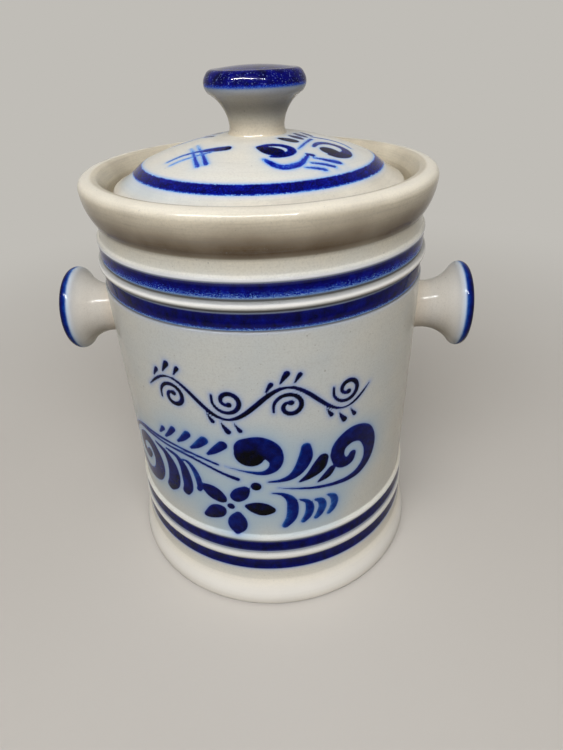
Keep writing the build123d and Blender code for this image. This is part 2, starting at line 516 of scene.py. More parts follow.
def spaced_rows(points: np.ndarray, widest: np.ndarray | float, turn_deg: float) -> np.ndarray:
    """Picks rows along an outline, close where it bends: each row takes the same share of the sum of
    length over the widest step and turning over the largest turn.

    Args:
        points: the outline, one row a point.
        widest: the widest step in millimetres, one number or one for each stretch between points.
        turn_deg: the largest turn between two rows.

    Returns:
        The chosen points.
    """
    steps = np.diff(points, axis=0)
    heading = np.unwrap(np.arctan2(steps[:, 1], steps[:, 0]))
    bend = np.abs(np.gradient(heading))
    share = np.hypot(*steps.T) / widest + bend / math.radians(turn_deg)
    total = np.concatenate([[0.0], np.cumsum(share)])
    at = np.linspace(0, total[-1], int(total[-1]) + 2)
    return np.stack([np.interp(at, total, points[:, i]) for i in (0, 1)], axis=1)


def closed_mesh(name: str, grid: np.ndarray, marks: dict[str, np.ndarray]) -> bpy.types.Object:
    """Makes a closed mesh from a grid whose first and last rows are poles on the axis.

    Args:
        name: the piece's name.
        grid: places in millimetres, rows by columns by 3. Columns close on themselves.
        marks: a number for each place, by attribute name.

    Returns:
        The object, at the origin, in metres.
    """
    rows, columns = grid.shape[:2]
    inner = grid[1:-1].reshape(-1, 3)
    places = np.concatenate([grid[:1, 0], inner, grid[-1:, 0]]) * MM
    ring = np.arange(columns)
    after = (ring + 1) % columns
    base = 1 + np.arange(rows - 3)[:, None] * columns
    quads = np.stack([base + ring, base + after, base + columns + after, base + columns + ring], axis=-1)
    top = 1 + (rows - 3) * columns
    last = top + columns
    fans = [
        np.stack([np.zeros_like(ring), 1 + after, 1 + ring], axis=-1),
        np.stack([top + ring, top + after, np.full_like(ring, last)], axis=-1),
    ]
    faces = fans[0].tolist() + quads.reshape(-1, 4).tolist() + fans[1].tolist()
    mesh = bpy.data.meshes.new(name)
    mesh.from_pydata(places.tolist(), [], faces)
    mesh.shade_smooth()
    for mark, values in marks.items():
        flat = np.concatenate([values[:1, 0], values[1:-1].ravel(), values[-1:, 0]])
        attribute = mesh.attributes.new(mark, "FLOAT", "POINT")
        attribute.data.foreach_set("value", flat.astype(np.float32))
    return put(name, mesh)


@dataclass(frozen=True)
class Stroke:
    """One pull of a loaded brush: dabs of place and half width, joined by a smooth curve, with the
    depth of its blue at the first dab and at the last."""

    dabs: tuple[Dab, ...]
    tones: Point = (0.75, 0.75)
    fray: float = 0.12
    spans = 8
    least_mm = 0.2
    dot_mm = 1e-6

    def curve(self) -> tuple[np.ndarray, np.ndarray]:
        """A Catmull-Rom curve through the dabs, with its end dabs repeated.

        Returns:
            Points of place and half width, and the tone at each.
        """
        dabs = np.array(self.dabs, float)
        tones = np.linspace(*self.tones, len(dabs))
        if len(dabs) == 1:
            dabs, tones = np.repeat(dabs, 2, axis=0) + [[0], [self.dot_mm]], np.repeat(tones, 2)
        knots = np.concatenate([dabs[:1], dabs, dabs[-1:]])
        t = (np.arange(self.spans) / self.spans)[:, None]
        pieces = [
            0.5
            * (
                2 * b
                + (c - a) * t
                + (2 * a - 5 * b + 4 * c - d) * t**2
                + (3 * b - a - 3 * c + d) * t**3
            )
            for a, b, c, d in zip(knots, knots[1:], knots[2:], knots[3:])
        ]
        points = np.concatenate([*pieces, dabs[-1:]])
        points[:, 2] = np.maximum(points[:, 2], self.least_mm)
        at = np.linspace(0, len(dabs) - 1, len(points))
        return points, np.interp(at, np.arange(len(dabs)), tones)


@dataclass
class Brushwork:
    """What the cobalt does at each place: squared distance to the nearest stroke's centreline, that
    stroke's half width, its tone, how far its edge frays, and the wash in the glaze near it. Lengths
    are in millimetres, and each field is a mark that the finish reads under the same name."""

    reach: np.ndarray
    width: np.ndarray
    tone: np.ndarray
    fray: np.ndarray
    wash: np.ndarray
    far_mm = 40.0
    margin_mm = 12.0
    melt_mm = 1.9
    plain_tone = 0.5
    plain_fray = 0.12
    full_wash = 6.0
    sink_share = 0.13
    sink_way = (0.55, -0.83)

    @classmethod
    def blank(cls, shape: tuple[int, ...]) -> "Brushwork":
        """A surface with no paint on it: each stroke is too far away to show."""
        none = np.zeros(shape)
        return cls(none + cls.far_mm**2, none, none + cls.plain_tone, none + cls.plain_fray, none.copy())

    def keep_nearer(
        self, reach: np.ndarray, width: np.ndarray, tone: np.ndarray, fray: np.ndarray
    ) -> None:
        """Takes a new stroke where its edge is nearer, or lies deeper, than what is there. Where two
        are about as deep, their tones run together: a logistic curve of the difference in depth.

        Args:
            reach: squared distance to the new stroke's centreline.
            width: its half width.
            tone: the depth of its blue.
            fray: how far its edge frays.
        """
        lead = (np.sqrt(self.reach) - self.width) - (np.sqrt(reach) - width)
        share = 1 / (1 + np.exp(-np.clip(lead / self.melt_mm, -30, 30)))
        self.tone = share * tone + (1 - share) * self.tone
        for name, new in (("reach", reach), ("width", width), ("fray", fray)):
            setattr(self, name, np.where(lead > 0, new, getattr(self, name)))

    def wipe(self, kept: np.ndarray) -> None:
        """Takes the strokes off the places that aren't kept."""
        self.reach = np.where(kept, self.reach, self.far_mm**2)
        self.width = np.where(kept, self.width, 0.0)

    def stroke(self, across: np.ndarray, up: np.ndarray, stroke: Stroke) -> None:
        """Lays a stroke. The distance is to the nearest point of each short cone of its curve, and the
        wet pigment has sunk to the stroke's lower right: its tone grows with the offset that way.

        Args:
            across: each place's first coordinate on the painted surface.
            up: each place's second coordinate.
            stroke: what is painted.
        """
        points, tones = stroke.curve()
        low = points[:, :2].min(axis=0) - self.margin_mm
        high = points[:, :2].max(axis=0) + self.margin_mm
        near = (across > low[0]) & (across < high[0]) & (up > low[1]) & (up < high[1])
        if not near.any():
            return
        place = np.stack([across[near], up[near]], axis=1)[:, None]
        start, way = points[:-1], np.diff(points, axis=0)
        span = np.maximum((way[:, :2] ** 2).sum(axis=1), 1e-12)
        share = np.clip(((place - start[:, :2]) * way[:, :2]).sum(axis=2) / span, 0, 1)
        gap = place - start[:, :2] - share[..., None] * way[:, :2]
        reach = (gap**2).sum(axis=2)
        width = start[:, 2] + share * way[:, 2]
        best = np.argmin(np.sqrt(reach) - width, axis=1)[:, None]
        sunk = (gap * self.sink_way).sum(axis=2) / np.maximum(width, 1.0)
        tone = tones[:-1] + share * np.diff(tones) + self.sink_share * np.clip(sunk, -1, 1)
        new = Brushwork.blank(across.shape)
        for name, values in (("reach", reach), ("width", width), ("tone", tone)):
            getattr(new, name)[near] = np.take_along_axis(values, best, axis=1)[:, 0]
        new.fray[near] = stroke.fray
        self.keep_nearer(new.reach, new.width, new.tone, new.fray)

    def breathe(
        self,
        across: np.ndarray,
        up: np.ndarray,
        strokes: Sequence[Stroke],
        spread_mm: float,
        share: float,
    ) -> None:
        """Tints the glaze near the strokes, as cobalt fumes do in the kiln: the sum over the dabs of
        a bell curve of the distance, by the dab's size, levelled off by 1 less its exponential.

        Args:
            across: each place's first coordinate on the painted surface.
            up: each place's second coordinate.
            strokes: what is painted.
            spread_mm: the bell curve's width.
            share: the deepest tint.
        """
        total = np.zeros(up.shape)
        for stroke in strokes:
            for x, y, half in stroke.dabs:
                total += half * np.exp(-((across - x) ** 2 + (up - y) ** 2) / (2 * spread_mm**2))
        self.wash = share * (1 - np.exp(-total / self.full_wash))

    def band(self, up: np.ndarray, low: float, high: float, tone: float, frays: Point) -> None:
        """Lays a band round the form.

        Args:
            up: each place's height, or its distance along the outline.
            low: the band's lower edge.
            high: its upper edge.
            tone: the depth of its blue.
            frays: how far the lower and the upper edge fray.
        """
        middle = (low + high) / 2
        fray = np.where(up < middle, frays[0], frays[1])
        self.keep_nearer(
            (up - middle) ** 2, np.full(up.shape, (high - low) / 2), np.full(up.shape, tone), fray
        )


def bells(up: np.ndarray, rows: Sequence[Dab]) -> np.ndarray:
    """Adds up bell curves of a height: each is its share times e to the power of minus the square of
    the distance from its level over its half width.

    Args:
        up: the heights.
        rows: level, half width and share of each curve.

    Returns:
        The sum at each height.
    """
    return sum(share * np.exp(-(((up - level) / half) ** 2)) for level, half, share in rows)


def place_piece(piece: bpy.types.Object, node: str, glaze: SaltGlaze, body: str) -> None:
    """Gives a piece its finish and its place among the bodies.

    Args:
        piece: the new mesh, in place, named for its visible form.
        node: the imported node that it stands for.
        glaze: its finish.
        body: the body that it moves with.
    """
    piece.data.materials.append(glaze.material())
    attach(piece, body)
    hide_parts(node)
    log.info("%s: %d faces, on body %s", piece.name, len(piece.data.polygons), body)


def turned(radius: np.ndarray, angle: np.ndarray, up: np.ndarray) -> np.ndarray:
    """Places round the upright axis: out by the radius, times the sine of the angle towards +X and
    times its cosine towards -Y.

    Args:
        radius: distances from the axis.
        angle: angles from -Y towards +X.
        up: heights.

    Returns:
        The places, rows by columns by 3.
    """
    return np.stack([radius * np.sin(angle), -radius * np.cos(angle), up], axis=-1)


def around(count: int) -> np.ndarray:
    """Evenly spaced angles round an axis, in radians.

    Args:
        count: how many.

    Returns:
        The angles, from minus half a turn.
    """
    return -math.pi + math.tau * np.arange(count) / count


@dataclass
class WallSpray:
    """The spray on the front of the wall. A dab's place is the length round the wall from the middle
    of the front, and the height over the table; a curved stem, a bud, leaves, a scroll and a flower."""

    stems: tuple[Stroke, ...] = (
        Stroke(((-101, 96, 1.6), (-95, 103, 1.4), (-90, 107, 1.2), (-80, 111.5, 1.1),
            (-70, 112.9, 1.0), (-60, 113.5, 0.9), (-50, 113.2, 0.9), (-40, 112.3, 0.9),
            (-30, 110.5, 0.9), (-23, 108.6, 0.9)), (0.72, 0.62)),
        Stroke(((-86, 108.4, 0.6), (-80, 110.0, 0.9), (-70, 110.8, 1.0), (-60, 110.7, 0.9),
            (-50, 110.2, 0.9), (-40, 109.2, 1.0), (-30, 106.4, 1.0), (-20, 102.5, 1.1),
            (-12.7, 100, 1.4)), (0.6, 0.78)),
        Stroke(((9, 94, 0.4), (20, 91.9, 0.8), (30, 90, 1.1), (40, 88.8, 1.3)), (0.56, 0.74)),
    )
    drops: tuple[Stroke, ...] = (
        Stroke(((-60.8, 117.5, 0.7), (-57.3, 121.8, 1.7)), (0.6, 0.68)),
        Stroke(((-56.3, 116.5, 0.8), (-52.6, 120.4, 1.5), (-49.2, 124.7, 1.9)), (0.62, 0.66)),
        Stroke(((-47, 117.2, 0.8), (-43, 120.8, 1.8), (-39.5, 124.9, 2.3)), (0.6, 0.58)),
        Stroke(((-38.3, 116, 0.9), (-34, 119.4, 2.1), (-29.6, 123.7, 2.7)), (0.66, 0.5)),
        Stroke(((-28.3, 114.8, 0.9), (-24, 118.4, 2.2), (-19.2, 122.8, 2.8)), (0.64, 0.66)),
    )
    commas: tuple[Stroke, ...] = (
        Stroke(((-46, 104.5, 0.7), (-42, 104, 1.3), (-38.8, 100, 1.9), (-36.8, 94, 2.2),
            (-36.3, 88, 2.0), (-37.2, 85.8, 1.7)), (0.5, 0.6)),
        Stroke(((-58, 106.8, 0.9), (-50.5, 105.2, 1.6), (-46.4, 99.5, 2.8), (-44.9, 91, 3.7),
            (-45, 84, 3.5), (-47, 79.6, 2.8)), (0.62, 0.74)),
        Stroke(((-68, 106.3, 0.9), (-60.5, 103.6, 2.0), (-56.2, 97.5, 3.6), (-55, 90, 4.6),
            (-56.6, 82, 4.6), (-60.3, 76.6, 3.2)), (0.66, 0.78)),
        Stroke(((-103, 92, 1.8), (-101, 83, 2.6), (-94, 76, 3.4), (-84, 73.4, 3.6), (-74.5, 77, 4.6),
            (-69.4, 85, 5.0), (-69.2, 93.5, 4.8), (-73.6, 100.6, 4.2), (-81, 102.4, 3.6),
            (-87.6, 98, 3.2), (-88.4, 91, 3.0), (-83.4, 87.6, 3.0), (-79.2, 91.4, 2.8)), (0.66, 0.78)),
    )
    bud: tuple[Stroke, ...] = (
        Stroke(((-5.2, 118.2, 8.3),), (0.98, 0.98)),
        Stroke(((-6, 121.4, 7.4), (0, 123.3, 6.6), (5.6, 120.2, 5.9), (8.4, 114, 4.0),
            (6.7, 108.3, 2.7), (1, 105.2, 1.5), (-8, 106.1, 0.8), (-19, 108.3, 0.3)), (0.76, 0.56)),
    )
    leaves: tuple[Stroke, ...] = (
        Stroke(((3.8, 98.8, 0.7), (10, 99.2, 1.2), (16.2, 101.4, 2.2), (20.8, 106.2, 3.4),
            (24, 113.6, 4.0), (24.3, 120.6, 2.7)), (0.74, 0.6)),
        Stroke(((20.5, 96.8, 0.7), (26.6, 100.2, 2.6), (31.4, 105, 4.2), (33.8, 110, 3.3)),
            (0.84, 0.95)),
        Stroke(((31, 93.8, 0.6), (36.2, 97.2, 2.4), (39.2, 100.8, 2.2)), (0.8, 0.9)),
    )
    scroll: tuple[Stroke, ...] = (
        Stroke(((40, 88.8, 1.3), (50, 88.7, 1.9), (58, 91.2, 2.8), (63.8, 98, 3.7), (64.6, 108, 4.8),
            (60, 116.8, 5.4), (51.6, 119.6, 5.6), (44.2, 115.4, 4.9), (42.6, 108.6, 4.2),
            (45.2, 102.9, 3.8), (50.2, 102.2, 3.2), (52.2, 105.8, 2.5)), (0.74, 0.72)),
    )
    flower: tuple[Stroke, ...] = (
        Stroke(((-18.2, 78.5, 2.3),), (0.92, 0.92)),
        Stroke(((-3, 95.5, 3.0),), (0.94, 0.94)),
        Stroke(((-32.6, 89.6, 2.6), (-28.4, 87, 5.0), (-24.6, 84.2, 4.2), (-22.4, 82.6, 2.2)),
            (0.76, 0.78)),
        Stroke(((-14.2, 86.6, 4.0), (-12, 89, 4.6), (-9.2, 92.4, 2.8)), (0.72, 0.74)),
        Stroke(((-8.4, 79.8, 1.9), (-4, 78.9, 4.3), (0, 77.9, 4.9), (4.4, 77.2, 2.7)), (0.9, 0.97)),
        Stroke(((-14.3, 73, 2.0), (-15, 67.5, 5.3), (-15.5, 63.6, 5.7), (-16, 59.6, 3.2)), (0.66, 0.7)),
        Stroke(((-24.2, 74.6, 3.0), (-27, 72.4, 5.0), (-32, 68.3, 3.2), (-34.6, 66.6, 1.7)),
            (0.78, 0.8)),
    )
    crescents: tuple[Stroke, ...] = (
        Stroke(((5.5, 90.3, 0.6), (11, 89, 1.3), (15.4, 84.5, 2.6), (16.6, 78, 3.4), (15.6, 70, 3.2),
            (12, 64.2, 2.1)), (0.66, 0.5)),
        Stroke(((20.5, 83.3, 0.8), (24.6, 81, 1.6), (26.4, 76, 2.6), (25.4, 70, 2.5),
            (22.6, 65.8, 1.7)), (0.64, 0.46)),
        Stroke(((29.6, 80.8, 1.0), (32.8, 79, 2.1), (34, 74.5, 2.6), (32.5, 69.6, 2.3),
            (30.2, 66.5, 1.6)), (0.5, 0.42)),
        Stroke(((37, 82, 0.8), (40.3, 79.5, 2.0), (41.6, 75, 2.5), (40.3, 70, 2.2), (38, 67.2, 1.5)),
            (0.46, 0.38)),
    )

    def strokes(self) -> tuple[Stroke, ...]:
        """All of it, in the order that it was painted.

        Returns:
            The strokes.
        """
        return (
            *self.stems, *self.drops, *self.commas, *self.bud, *self.leaves, *self.scroll, *self.flower,
            *self.crescents,
        )


@dataclass
class RunningScroll:
    """A plain running scroll over the spray, trailed in a thin dark line: a wave, a curl that fills
    each of its hollows, and a row of drops on the outside of each bend. Values without a unit in
    their name are counts, or shares of what they belong to."""

    first_mm: float = -61.0
    waves: int = 2
    wave_mm: float = 61.0
    middle_mm: float = 149.5
    rise_mm: float = 9.5
    half_mm: float = 1.15
    wave_points: int = 12
    curl_mm: float = 8.6
    curl_turns: float = 1.35
    curl_points: int = 14
    curl_start_deg: float = 200.0
    curl_shift_mm: Point = (1.2, -1.6)
    curl_shrink: float = 0.76
    curl_end: float = 0.75
    drop_step_mm: float = 7.0
    drop_lean_mm: float = 3.4
    drop_mm: float = 5.6
    drop_gap_mm: float = 1.6
    drop_sizes: tuple[float, ...] = (0.8, 1.0, 0.8)
    drop_halves_mm: Dab = (0.5, 1.2, 1.75)
    drop_middle: float = 0.55
    tones: Point = (0.96, 0.92)

    def height(self, across: float) -> float:
        """The wave's height over its middle line: the rise times a sine."""
        return self.rise_mm * math.sin(math.tau * (across - self.first_mm) / self.wave_mm)

    def bend(self, number: int) -> tuple[int, float]:
        """Which way a bend turns, 1 for up and -1 for down, and where its middle is."""
        return (1 if number % 2 == 0 else -1), self.first_mm + self.wave_mm * (0.25 + 0.5 * number)

    def stem(self) -> Stroke:
        """The wave. Its half width grows from both ends with a sine's 0.4th power, and with the slope
        of the wave, so it is thin at the ends and on the bends.

        Returns:
            The stroke.
        """
        count = self.waves * self.wave_points
        dabs = []
        for i in range(count + 1):
            across = self.first_mm + self.waves * self.wave_mm * i / count
            slope = abs(math.cos(math.tau * self.waves * i / count))
            taper = (0.3 + 0.7 * math.sin(math.pi * i / count) ** 0.4) * (0.75 + 0.5 * slope)
            dabs.append((across, self.middle_mm + self.height(across), self.half_mm * taper))
        return Stroke(tuple(dabs), self.tones)

    def curl(self, number: int) -> Stroke:
        """The curl in one hollow: a circle whose radius shrinks as it turns, by its share of the way
        to the power of 0.9. The line is widest half way, where a sine is, and ends in a round blob.

        Args:
            number: the bend's number, from the left; even ones rise.

        Returns:
            The stroke, from where it leaves the wave.
        """
        side, middle = self.bend(number)
        centre, level = middle + self.curl_shift_mm[0], self.middle_mm + side * self.curl_shift_mm[1]
        dabs = []
        for i in range(self.curl_points + 1):
            share = i / self.curl_points
            angle = math.radians(self.curl_start_deg) - self.curl_turns * math.tau * share
            radius = self.curl_mm * (1 - self.curl_shrink * share**0.9)
            end = self.curl_end if i == self.curl_points else 0.0
            half = self.half_mm * (0.7 + 0.5 * math.sin(math.pi * share) + end)
            across, up = radius * math.cos(angle), side * radius * math.sin(angle)
            dabs.append((centre + across, level + up, half))
        return Stroke(tuple(dabs), self.tones)

    def drops(self, number: int) -> list[Stroke]:
        """Three drops in a row on the outside of a bend, all leaning the way that the scroll runs,
        the middle one the largest.

        Args:
            number: the bend's number, from the left.

        Returns:
            The strokes.
        """
        side, middle = self.bend(number)
        thin, wide, widest = self.drop_halves_mm
        made = []
        for i, size in enumerate(self.drop_sizes):
            foot = middle + (i - 1) * self.drop_step_mm - self.drop_lean_mm
            level = self.middle_mm + self.height(foot) + side * (self.half_mm + self.drop_gap_mm)
            tip, rise = foot + size * self.drop_lean_mm, size * self.drop_mm
            dabs = (
                (foot, level, thin),
                ((foot + tip) / 2, level + side * self.drop_middle * rise, wide * size),
                (tip, level + side * rise, widest * size),
            )
            made.append(Stroke(dabs, self.tones))
        return made

    def strokes(self) -> list[Stroke]:
        """The wave, its curls and its drops.

        Returns:
            The strokes.
        """
        bends = range(2 * self.waves)
        drops = [drop for number in bends for drop in self.drops(number)]
        return [self.stem(), *(self.curl(number) for number in bends), *drops]


@dataclass
class Crock:
    """The crock: a flared foot, two painted bands between ribs below and above, a plain painted wall,
    a neck under a thick collar, and the gallery inside it that carries the lid. A swell or a sink is
    how far the middle of a rounded stretch stands off the straight way. Cells are the widest steps
    of the mesh: fine over the painted front, wide elsewhere."""

    height: float
    foot_r: float
    foot_h: float = 19.8
    foot_spread: float = 7.4
    foot_top_step: float = 3.0
    foot_bevel: float = 2.2
    foot_bevel_swell: float = 0.7
    foot_swell: float = 0.9
    foot_ring_w: float = 18.0
    foot_recess: float = 1.6
    strip_h: float = 8.7
    low_band_h: float = 8.2
    low_rib_h: float = 6.4
    low_rib_swell: float = 1.4
    mid_band_h: float = 8.8
    thin_rib_h: float = 5.0
    thin_rib_swell: float = 1.5
    low_lean: float = 1.6
    low_cut: float = 0.3
    mid_cut: float = 0.1
    wall_t: float = 7.4
    floor_t: float = 9.0
    heel_r: float = 12.0
    collar_h: float = 20.9
    collar_overhang: float = 3.0
    collar_shoulder: float = 0.75
    collar_flare: Point = (0.7, 0.45)
    collar_roll: Point = (0.78, 0.69)
    crown_share: float = 0.62
    crown_drop: float = 0.3
    lip_w: float = 4.4
    lip_drop: float = 0.6
    lip_slope: Point = (0.5, 6.4)
    lip_sink: float = 0.4
    neck_h: float = 7.3
    neck_recess: float = 2.1
    neck_sink: float = 0.3
    bead_h: float = 2.8
    bead_swell: float = 1.0
    top_band_h: float = 7.4
    groove_h: float = 1.4
    groove_sink: float = 0.9
    top_rib_h: float = 3.8
    top_rib_swell: float = 1.1
    low_top_band_h: float = 8.2
    line_h: float = 1.0
    line_sink: float = 0.5
    band_recess: float = 0.8
    gallery_inset: float = 3.4
    ledge_w: float = 8.4
    ledge_depth: float = 12.2
    ledge_t: float = 9.0
    ledge_round: float = 1.4
    ledge_swell: float = 0.28
    ledge_under: float = 0.62
    ledge_root_h: float = 15.0
    bare_inset: float = 1.6
    soften: float = 0.45
    waver: Point = (0.13, 0.07)
    waver_run: Point = (70.0, 31.0)
    waver_in: float = 20.0
    heave: float = 0.12
    heave_h: float = 15.0
    front: Point = (-108.0, 74.0)
    painted: Point = (52.0, 174.0)
    cell: float = 1.1
    plain_cell: float = 4.5
    back_cell: float = 6.0
    turn_deg: float = 11.0
    band_tone: float = 0.78
    fringe_tone: float = 0.74
    breath_mm: float = 7.5
    breath_share: float = 0.8
    side_warmth: float = 0.45
    side_most: float = 0.8
    inside_warmth: float = 0.66
    spray: WallSpray = field(default_factory=WallSpray)
    scroll: RunningScroll = field(default_factory=RunningScroll)

    @classmethod
    def from_frame(cls) -> "Crock":
        """Takes the height and the foot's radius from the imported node."""
        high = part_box("crock")[1]
        return cls(height=high.z / MM, foot_r=high.x / MM)

    @property
    def wall_r(self) -> float:
        """The plain wall's radius."""
        return self.foot_r - self.foot_spread

    @property
    def levels(self) -> dict[str, float]:
        """Where the ribs, bands and neck begin.

        Returns:
            Their heights, by name.
        """
        strip = self.foot_h + self.strip_h
        low_rib = strip + self.low_band_h
        mid_band = low_rib + self.low_rib_h
        thin_rib = mid_band + self.mid_band_h
        crease = self.height - self.collar_h
        neck = crease - self.neck_h
        bead = neck - self.bead_h
        upper_groove = bead - self.top_band_h
        rib_top = upper_groove - self.groove_h
        rib_foot = rib_top - self.top_rib_h
        lower_groove = rib_foot - self.groove_h
        top_band = lower_groove - self.low_top_band_h
        return {
            "strip": strip, "low_rib": low_rib, "mid_band": mid_band, "thin_rib": thin_rib,
            "wall": thin_rib + self.thin_rib_h, "line": top_band - self.line_h, "top_band": top_band,
            "lower_groove": lower_groove, "rib_foot": rib_foot, "rib_top": rib_top,
            "upper_groove": upper_groove, "bead": bead, "neck": neck, "crease": crease,
        }

    def outline(self) -> np.ndarray:
        """From the middle of the underside, out and up over the collar, and down to the floor inside.

        Returns:
            The points, one row each.
        """
        at = self.levels
        wall, foot_top, lean = self.wall_r, self.wall_r + self.foot_top_step, self.wall_r + self.low_lean
        band, neck = wall - self.band_recess, wall - self.neck_recess
        ring, sole = self.foot_r - self.foot_ring_w, self.foot_r - self.foot_bevel
        pen = Pen((0.0, self.foot_recess))
        pen.line((ring - self.foot_recess, self.foot_recess))
        pen.line((ring, 0.0))
        pen.line((sole, 0.0))
        pen.bulge((self.foot_r, self.foot_bevel), out=self.foot_bevel_swell)
        pen.bulge((foot_top, self.foot_h), out=self.foot_swell)
        pen.line(((lean + foot_top) / 2, at["strip"]))
        pen.line((lean - self.low_cut, at["low_rib"]))
        pen.bulge((lean - self.mid_cut, at["mid_band"]), out=self.low_rib_swell)
        pen.line(((wall + lean) / 2 - self.low_cut, at["thin_rib"]))
        pen.bulge((wall, at["wall"]), out=self.thin_rib_swell)
        pen.line((wall, at["line"]))
        pen.bulge((band, at["top_band"]), out=-self.line_sink)
        pen.line((band, at["lower_groove"]))
        pen.bulge((wall, at["rib_foot"]), out=-self.groove_sink)
        pen.bulge((wall, at["rib_top"]), out=self.top_rib_swell)
        pen.bulge((band, at["upper_groove"]), out=-self.groove_sink)
        pen.line((band, at["bead"]))
        pen.bulge((neck, at["neck"]), out=self.bead_swell)
        pen.bulge((neck, at["crease"]), out=-self.neck_sink)
        self.collar(pen, neck)
        self.inside(pen)
        return pen.softened(self.soften)

    def collar(self, pen: Pen, neck: float) -> None:
        """Draws the collar's rounded outside, its crown and the slope down into the gallery.

        Args:
            pen: the pen, at the neck's top.
            neck: the neck's radius.
        """
        crease, rim = self.levels["crease"], self.wall_r + self.collar_overhang
        gallery = self.wall_r - self.wall_t - self.gallery_inset
        shoulder = crease + self.collar_shoulder * self.collar_h
        lip = (gallery + self.lip_w, self.height - self.lip_drop)
        crown = (lip[0] + self.crown_share * (rim - lip[0]), self.height - self.crown_drop)
        out, up = self.collar_flare
        pen.arc((neck + out * (rim - neck), crease + up * (shoulder - crease)), (rim, shoulder))
        out, up = self.collar_roll
        pen.arc((crown[0] + out * (rim - crown[0]), shoulder + up * (crown[1] - shoulder)), crown)
        pen.arc(((lip[0] + crown[0]) / 2, self.height), lip)
        out, down = self.lip_slope
        pen.bulge((gallery + out, lip[1] - down), out=-self.lip_sink)
        pen.line((gallery, self.height - self.ledge_depth))

    def inside(self, pen: Pen) -> None:
        """Draws the ledge, the swell under it, the wall, the heel and the floor.

        Args:
            pen: the pen, at the gallery's foot.
        """
        inner, heel, ease = self.wall_r - self.wall_t, self.heel_r, self.ledge_round
        mouth = inner - self.gallery_inset - self.ledge_w
        ledge, floor = self.height - self.ledge_depth, self.foot_recess + self.floor_t
        under = ledge - self.ledge_t
        root = under - self.ledge_root_h
        pen.line((mouth + ease, ledge))
        pen.bulge((mouth, ledge - ease), out=-self.ledge_swell, up=self.ledge_swell)
        pen.line((mouth, under))
        pen.arc((mouth + self.ledge_under * (inner - mouth), (under + root) / 2), (inner, root))
        pen.line((inner, floor + heel))
        pen.bulge((inner - heel, floor), out=QUARTER * heel, up=-QUARTER * heel)
        pen.line((0.0, floor))

    def columns(self) -> np.ndarray:
        """Where the mesh's columns stand: close over the painted front, wide round the back.

        Returns:
            The angles from the front.
        """
        left, right = (edge / self.wall_r for edge in self.front)
        front = np.linspace(left, right, int((self.front[1] - self.front[0]) / self.cell))
        rest = math.tau - (right - left)
        back = np.linspace(right, right + rest, int(rest * self.wall_r / self.back_cell) + 1)
        return np.concatenate([front, back[1:-1]])

    def rows(self) -> np.ndarray:
        """Rows of the outline, close where the wall's outside is painted.

        Returns:
            The points, one row each.
        """
        outline = self.outline()
        middle = outline[:-1, 1]
        fine = (middle > self.painted[0]) & (middle < self.painted[1])
        fine &= np.arange(len(middle)) < np.argmax(outline[:, 1])
        return spaced_rows(outline, np.where(fine, self.cell, self.plain_cell), self.turn_deg)

    def paint(self, angle: np.ndarray, up: np.ndarray, outside: np.ndarray) -> Brushwork:
        """The bands, the spray and the running scroll, on the outside alone.

        Args:
            angle: the columns' angles from the front.
            up: each place's height.
            outside: whether each place is on the outside.

        Returns:
            The brushwork.
        """
        at = self.levels
        half_turn = math.pi * self.wall_r
        across = np.broadcast_to(angle * self.wall_r, up.shape)
        across = (across + half_turn) % (2 * half_turn) - half_turn
        work = Brushwork.blank(up.shape)
        for low, high, tone, frays in (
            (at["strip"] + 0.2, at["low_rib"] - 0.2, self.band_tone, (0.2, 0.2)),
            (at["mid_band"] + 1.0, at["thin_rib"] - 0.6, self.band_tone, (0.2, 0.2)),
            (at["top_band"] - 0.1, at["lower_groove"] - 0.1, self.band_tone, (0.36, 0.2)),
            (at["upper_groove"] + 0.3, at["bead"], self.fringe_tone, (0.9, 0.25)),
        ):
            work.band(up, low, high, tone, frays)
        for stroke in (*self.spray.strokes(), *self.scroll.strokes()):
            work.stroke(across, up, stroke)
        work.breathe(across, up, self.spray.strokes(), self.breath_mm, self.breath_share)
        work.wash = np.where(outside, work.wash, 0.0)
        work.wipe(outside)
        return work

    def warmth(self, angle: np.ndarray, up: np.ndarray) -> np.ndarray:
        """How warm the glaze is outside: cool on the wall's front, warmer round its sides by 1 less
        the cosine of the angle, cream on the foot, and tan on the collar's lower half, which faces
        down: partly the glaze's own colour, partly painted shade.

        Args:
            angle: the columns' angles from the front.
            up: each place's height.

        Returns:
            The warmth at each place.
        """
        at, foot, crease = self.levels, self.foot_h, self.levels["crease"]
        # Near 1 the ramp reaches tan: painted shade on the collar's lower half, partly its own colour.
        shades = (
            (0, 0.7), (6, 0.62), (foot - 1, 0.5), (foot + 2, 0.36), (at["wall"], 0.16), (150, 0.1),
            (at["bead"], 0.2), (at["neck"] + 2, 0.32), (crease - 0.5, 0.4), (crease + 1, 1.0),
            (crease + 8, 0.88), (crease + 14, 0.69), (self.height, 0.54),
        )
        warmth = np.interp(up, *zip(*shades))
        sideways = np.minimum(1 - np.cos(angle), self.side_most)
        return warmth + self.side_warmth * sideways * np.clip(1 - warmth / self.side_warmth, 0, 1)

    def ridges(self, up: np.ndarray) -> np.ndarray:
        """How pale the glaze is over the bead, the ribs, the foot and the crown: partly glaze that ran
        thin there, partly a painted highlight.

        Args:
            up: the heights.

        Returns:
            The share at each height.
        """
        at = self.levels
        return bells(up, (
            (at["bead"] + 1.1, 0.62, 1.0),
            ((at["rib_foot"] + at["rib_top"]) / 2 + 0.65, 0.85, 1.0),
            ((at["thin_rib"] + at["wall"]) / 2 + 0.4, 1.2, 0.7),
            ((at["low_rib"] + at["mid_band"]) / 2 + 0.5, 1.7, 0.7),
            (0.5 * self.foot_h, 0.5 * self.foot_h, 0.85),
            (self.height, 2.5, 0.35),
        ))

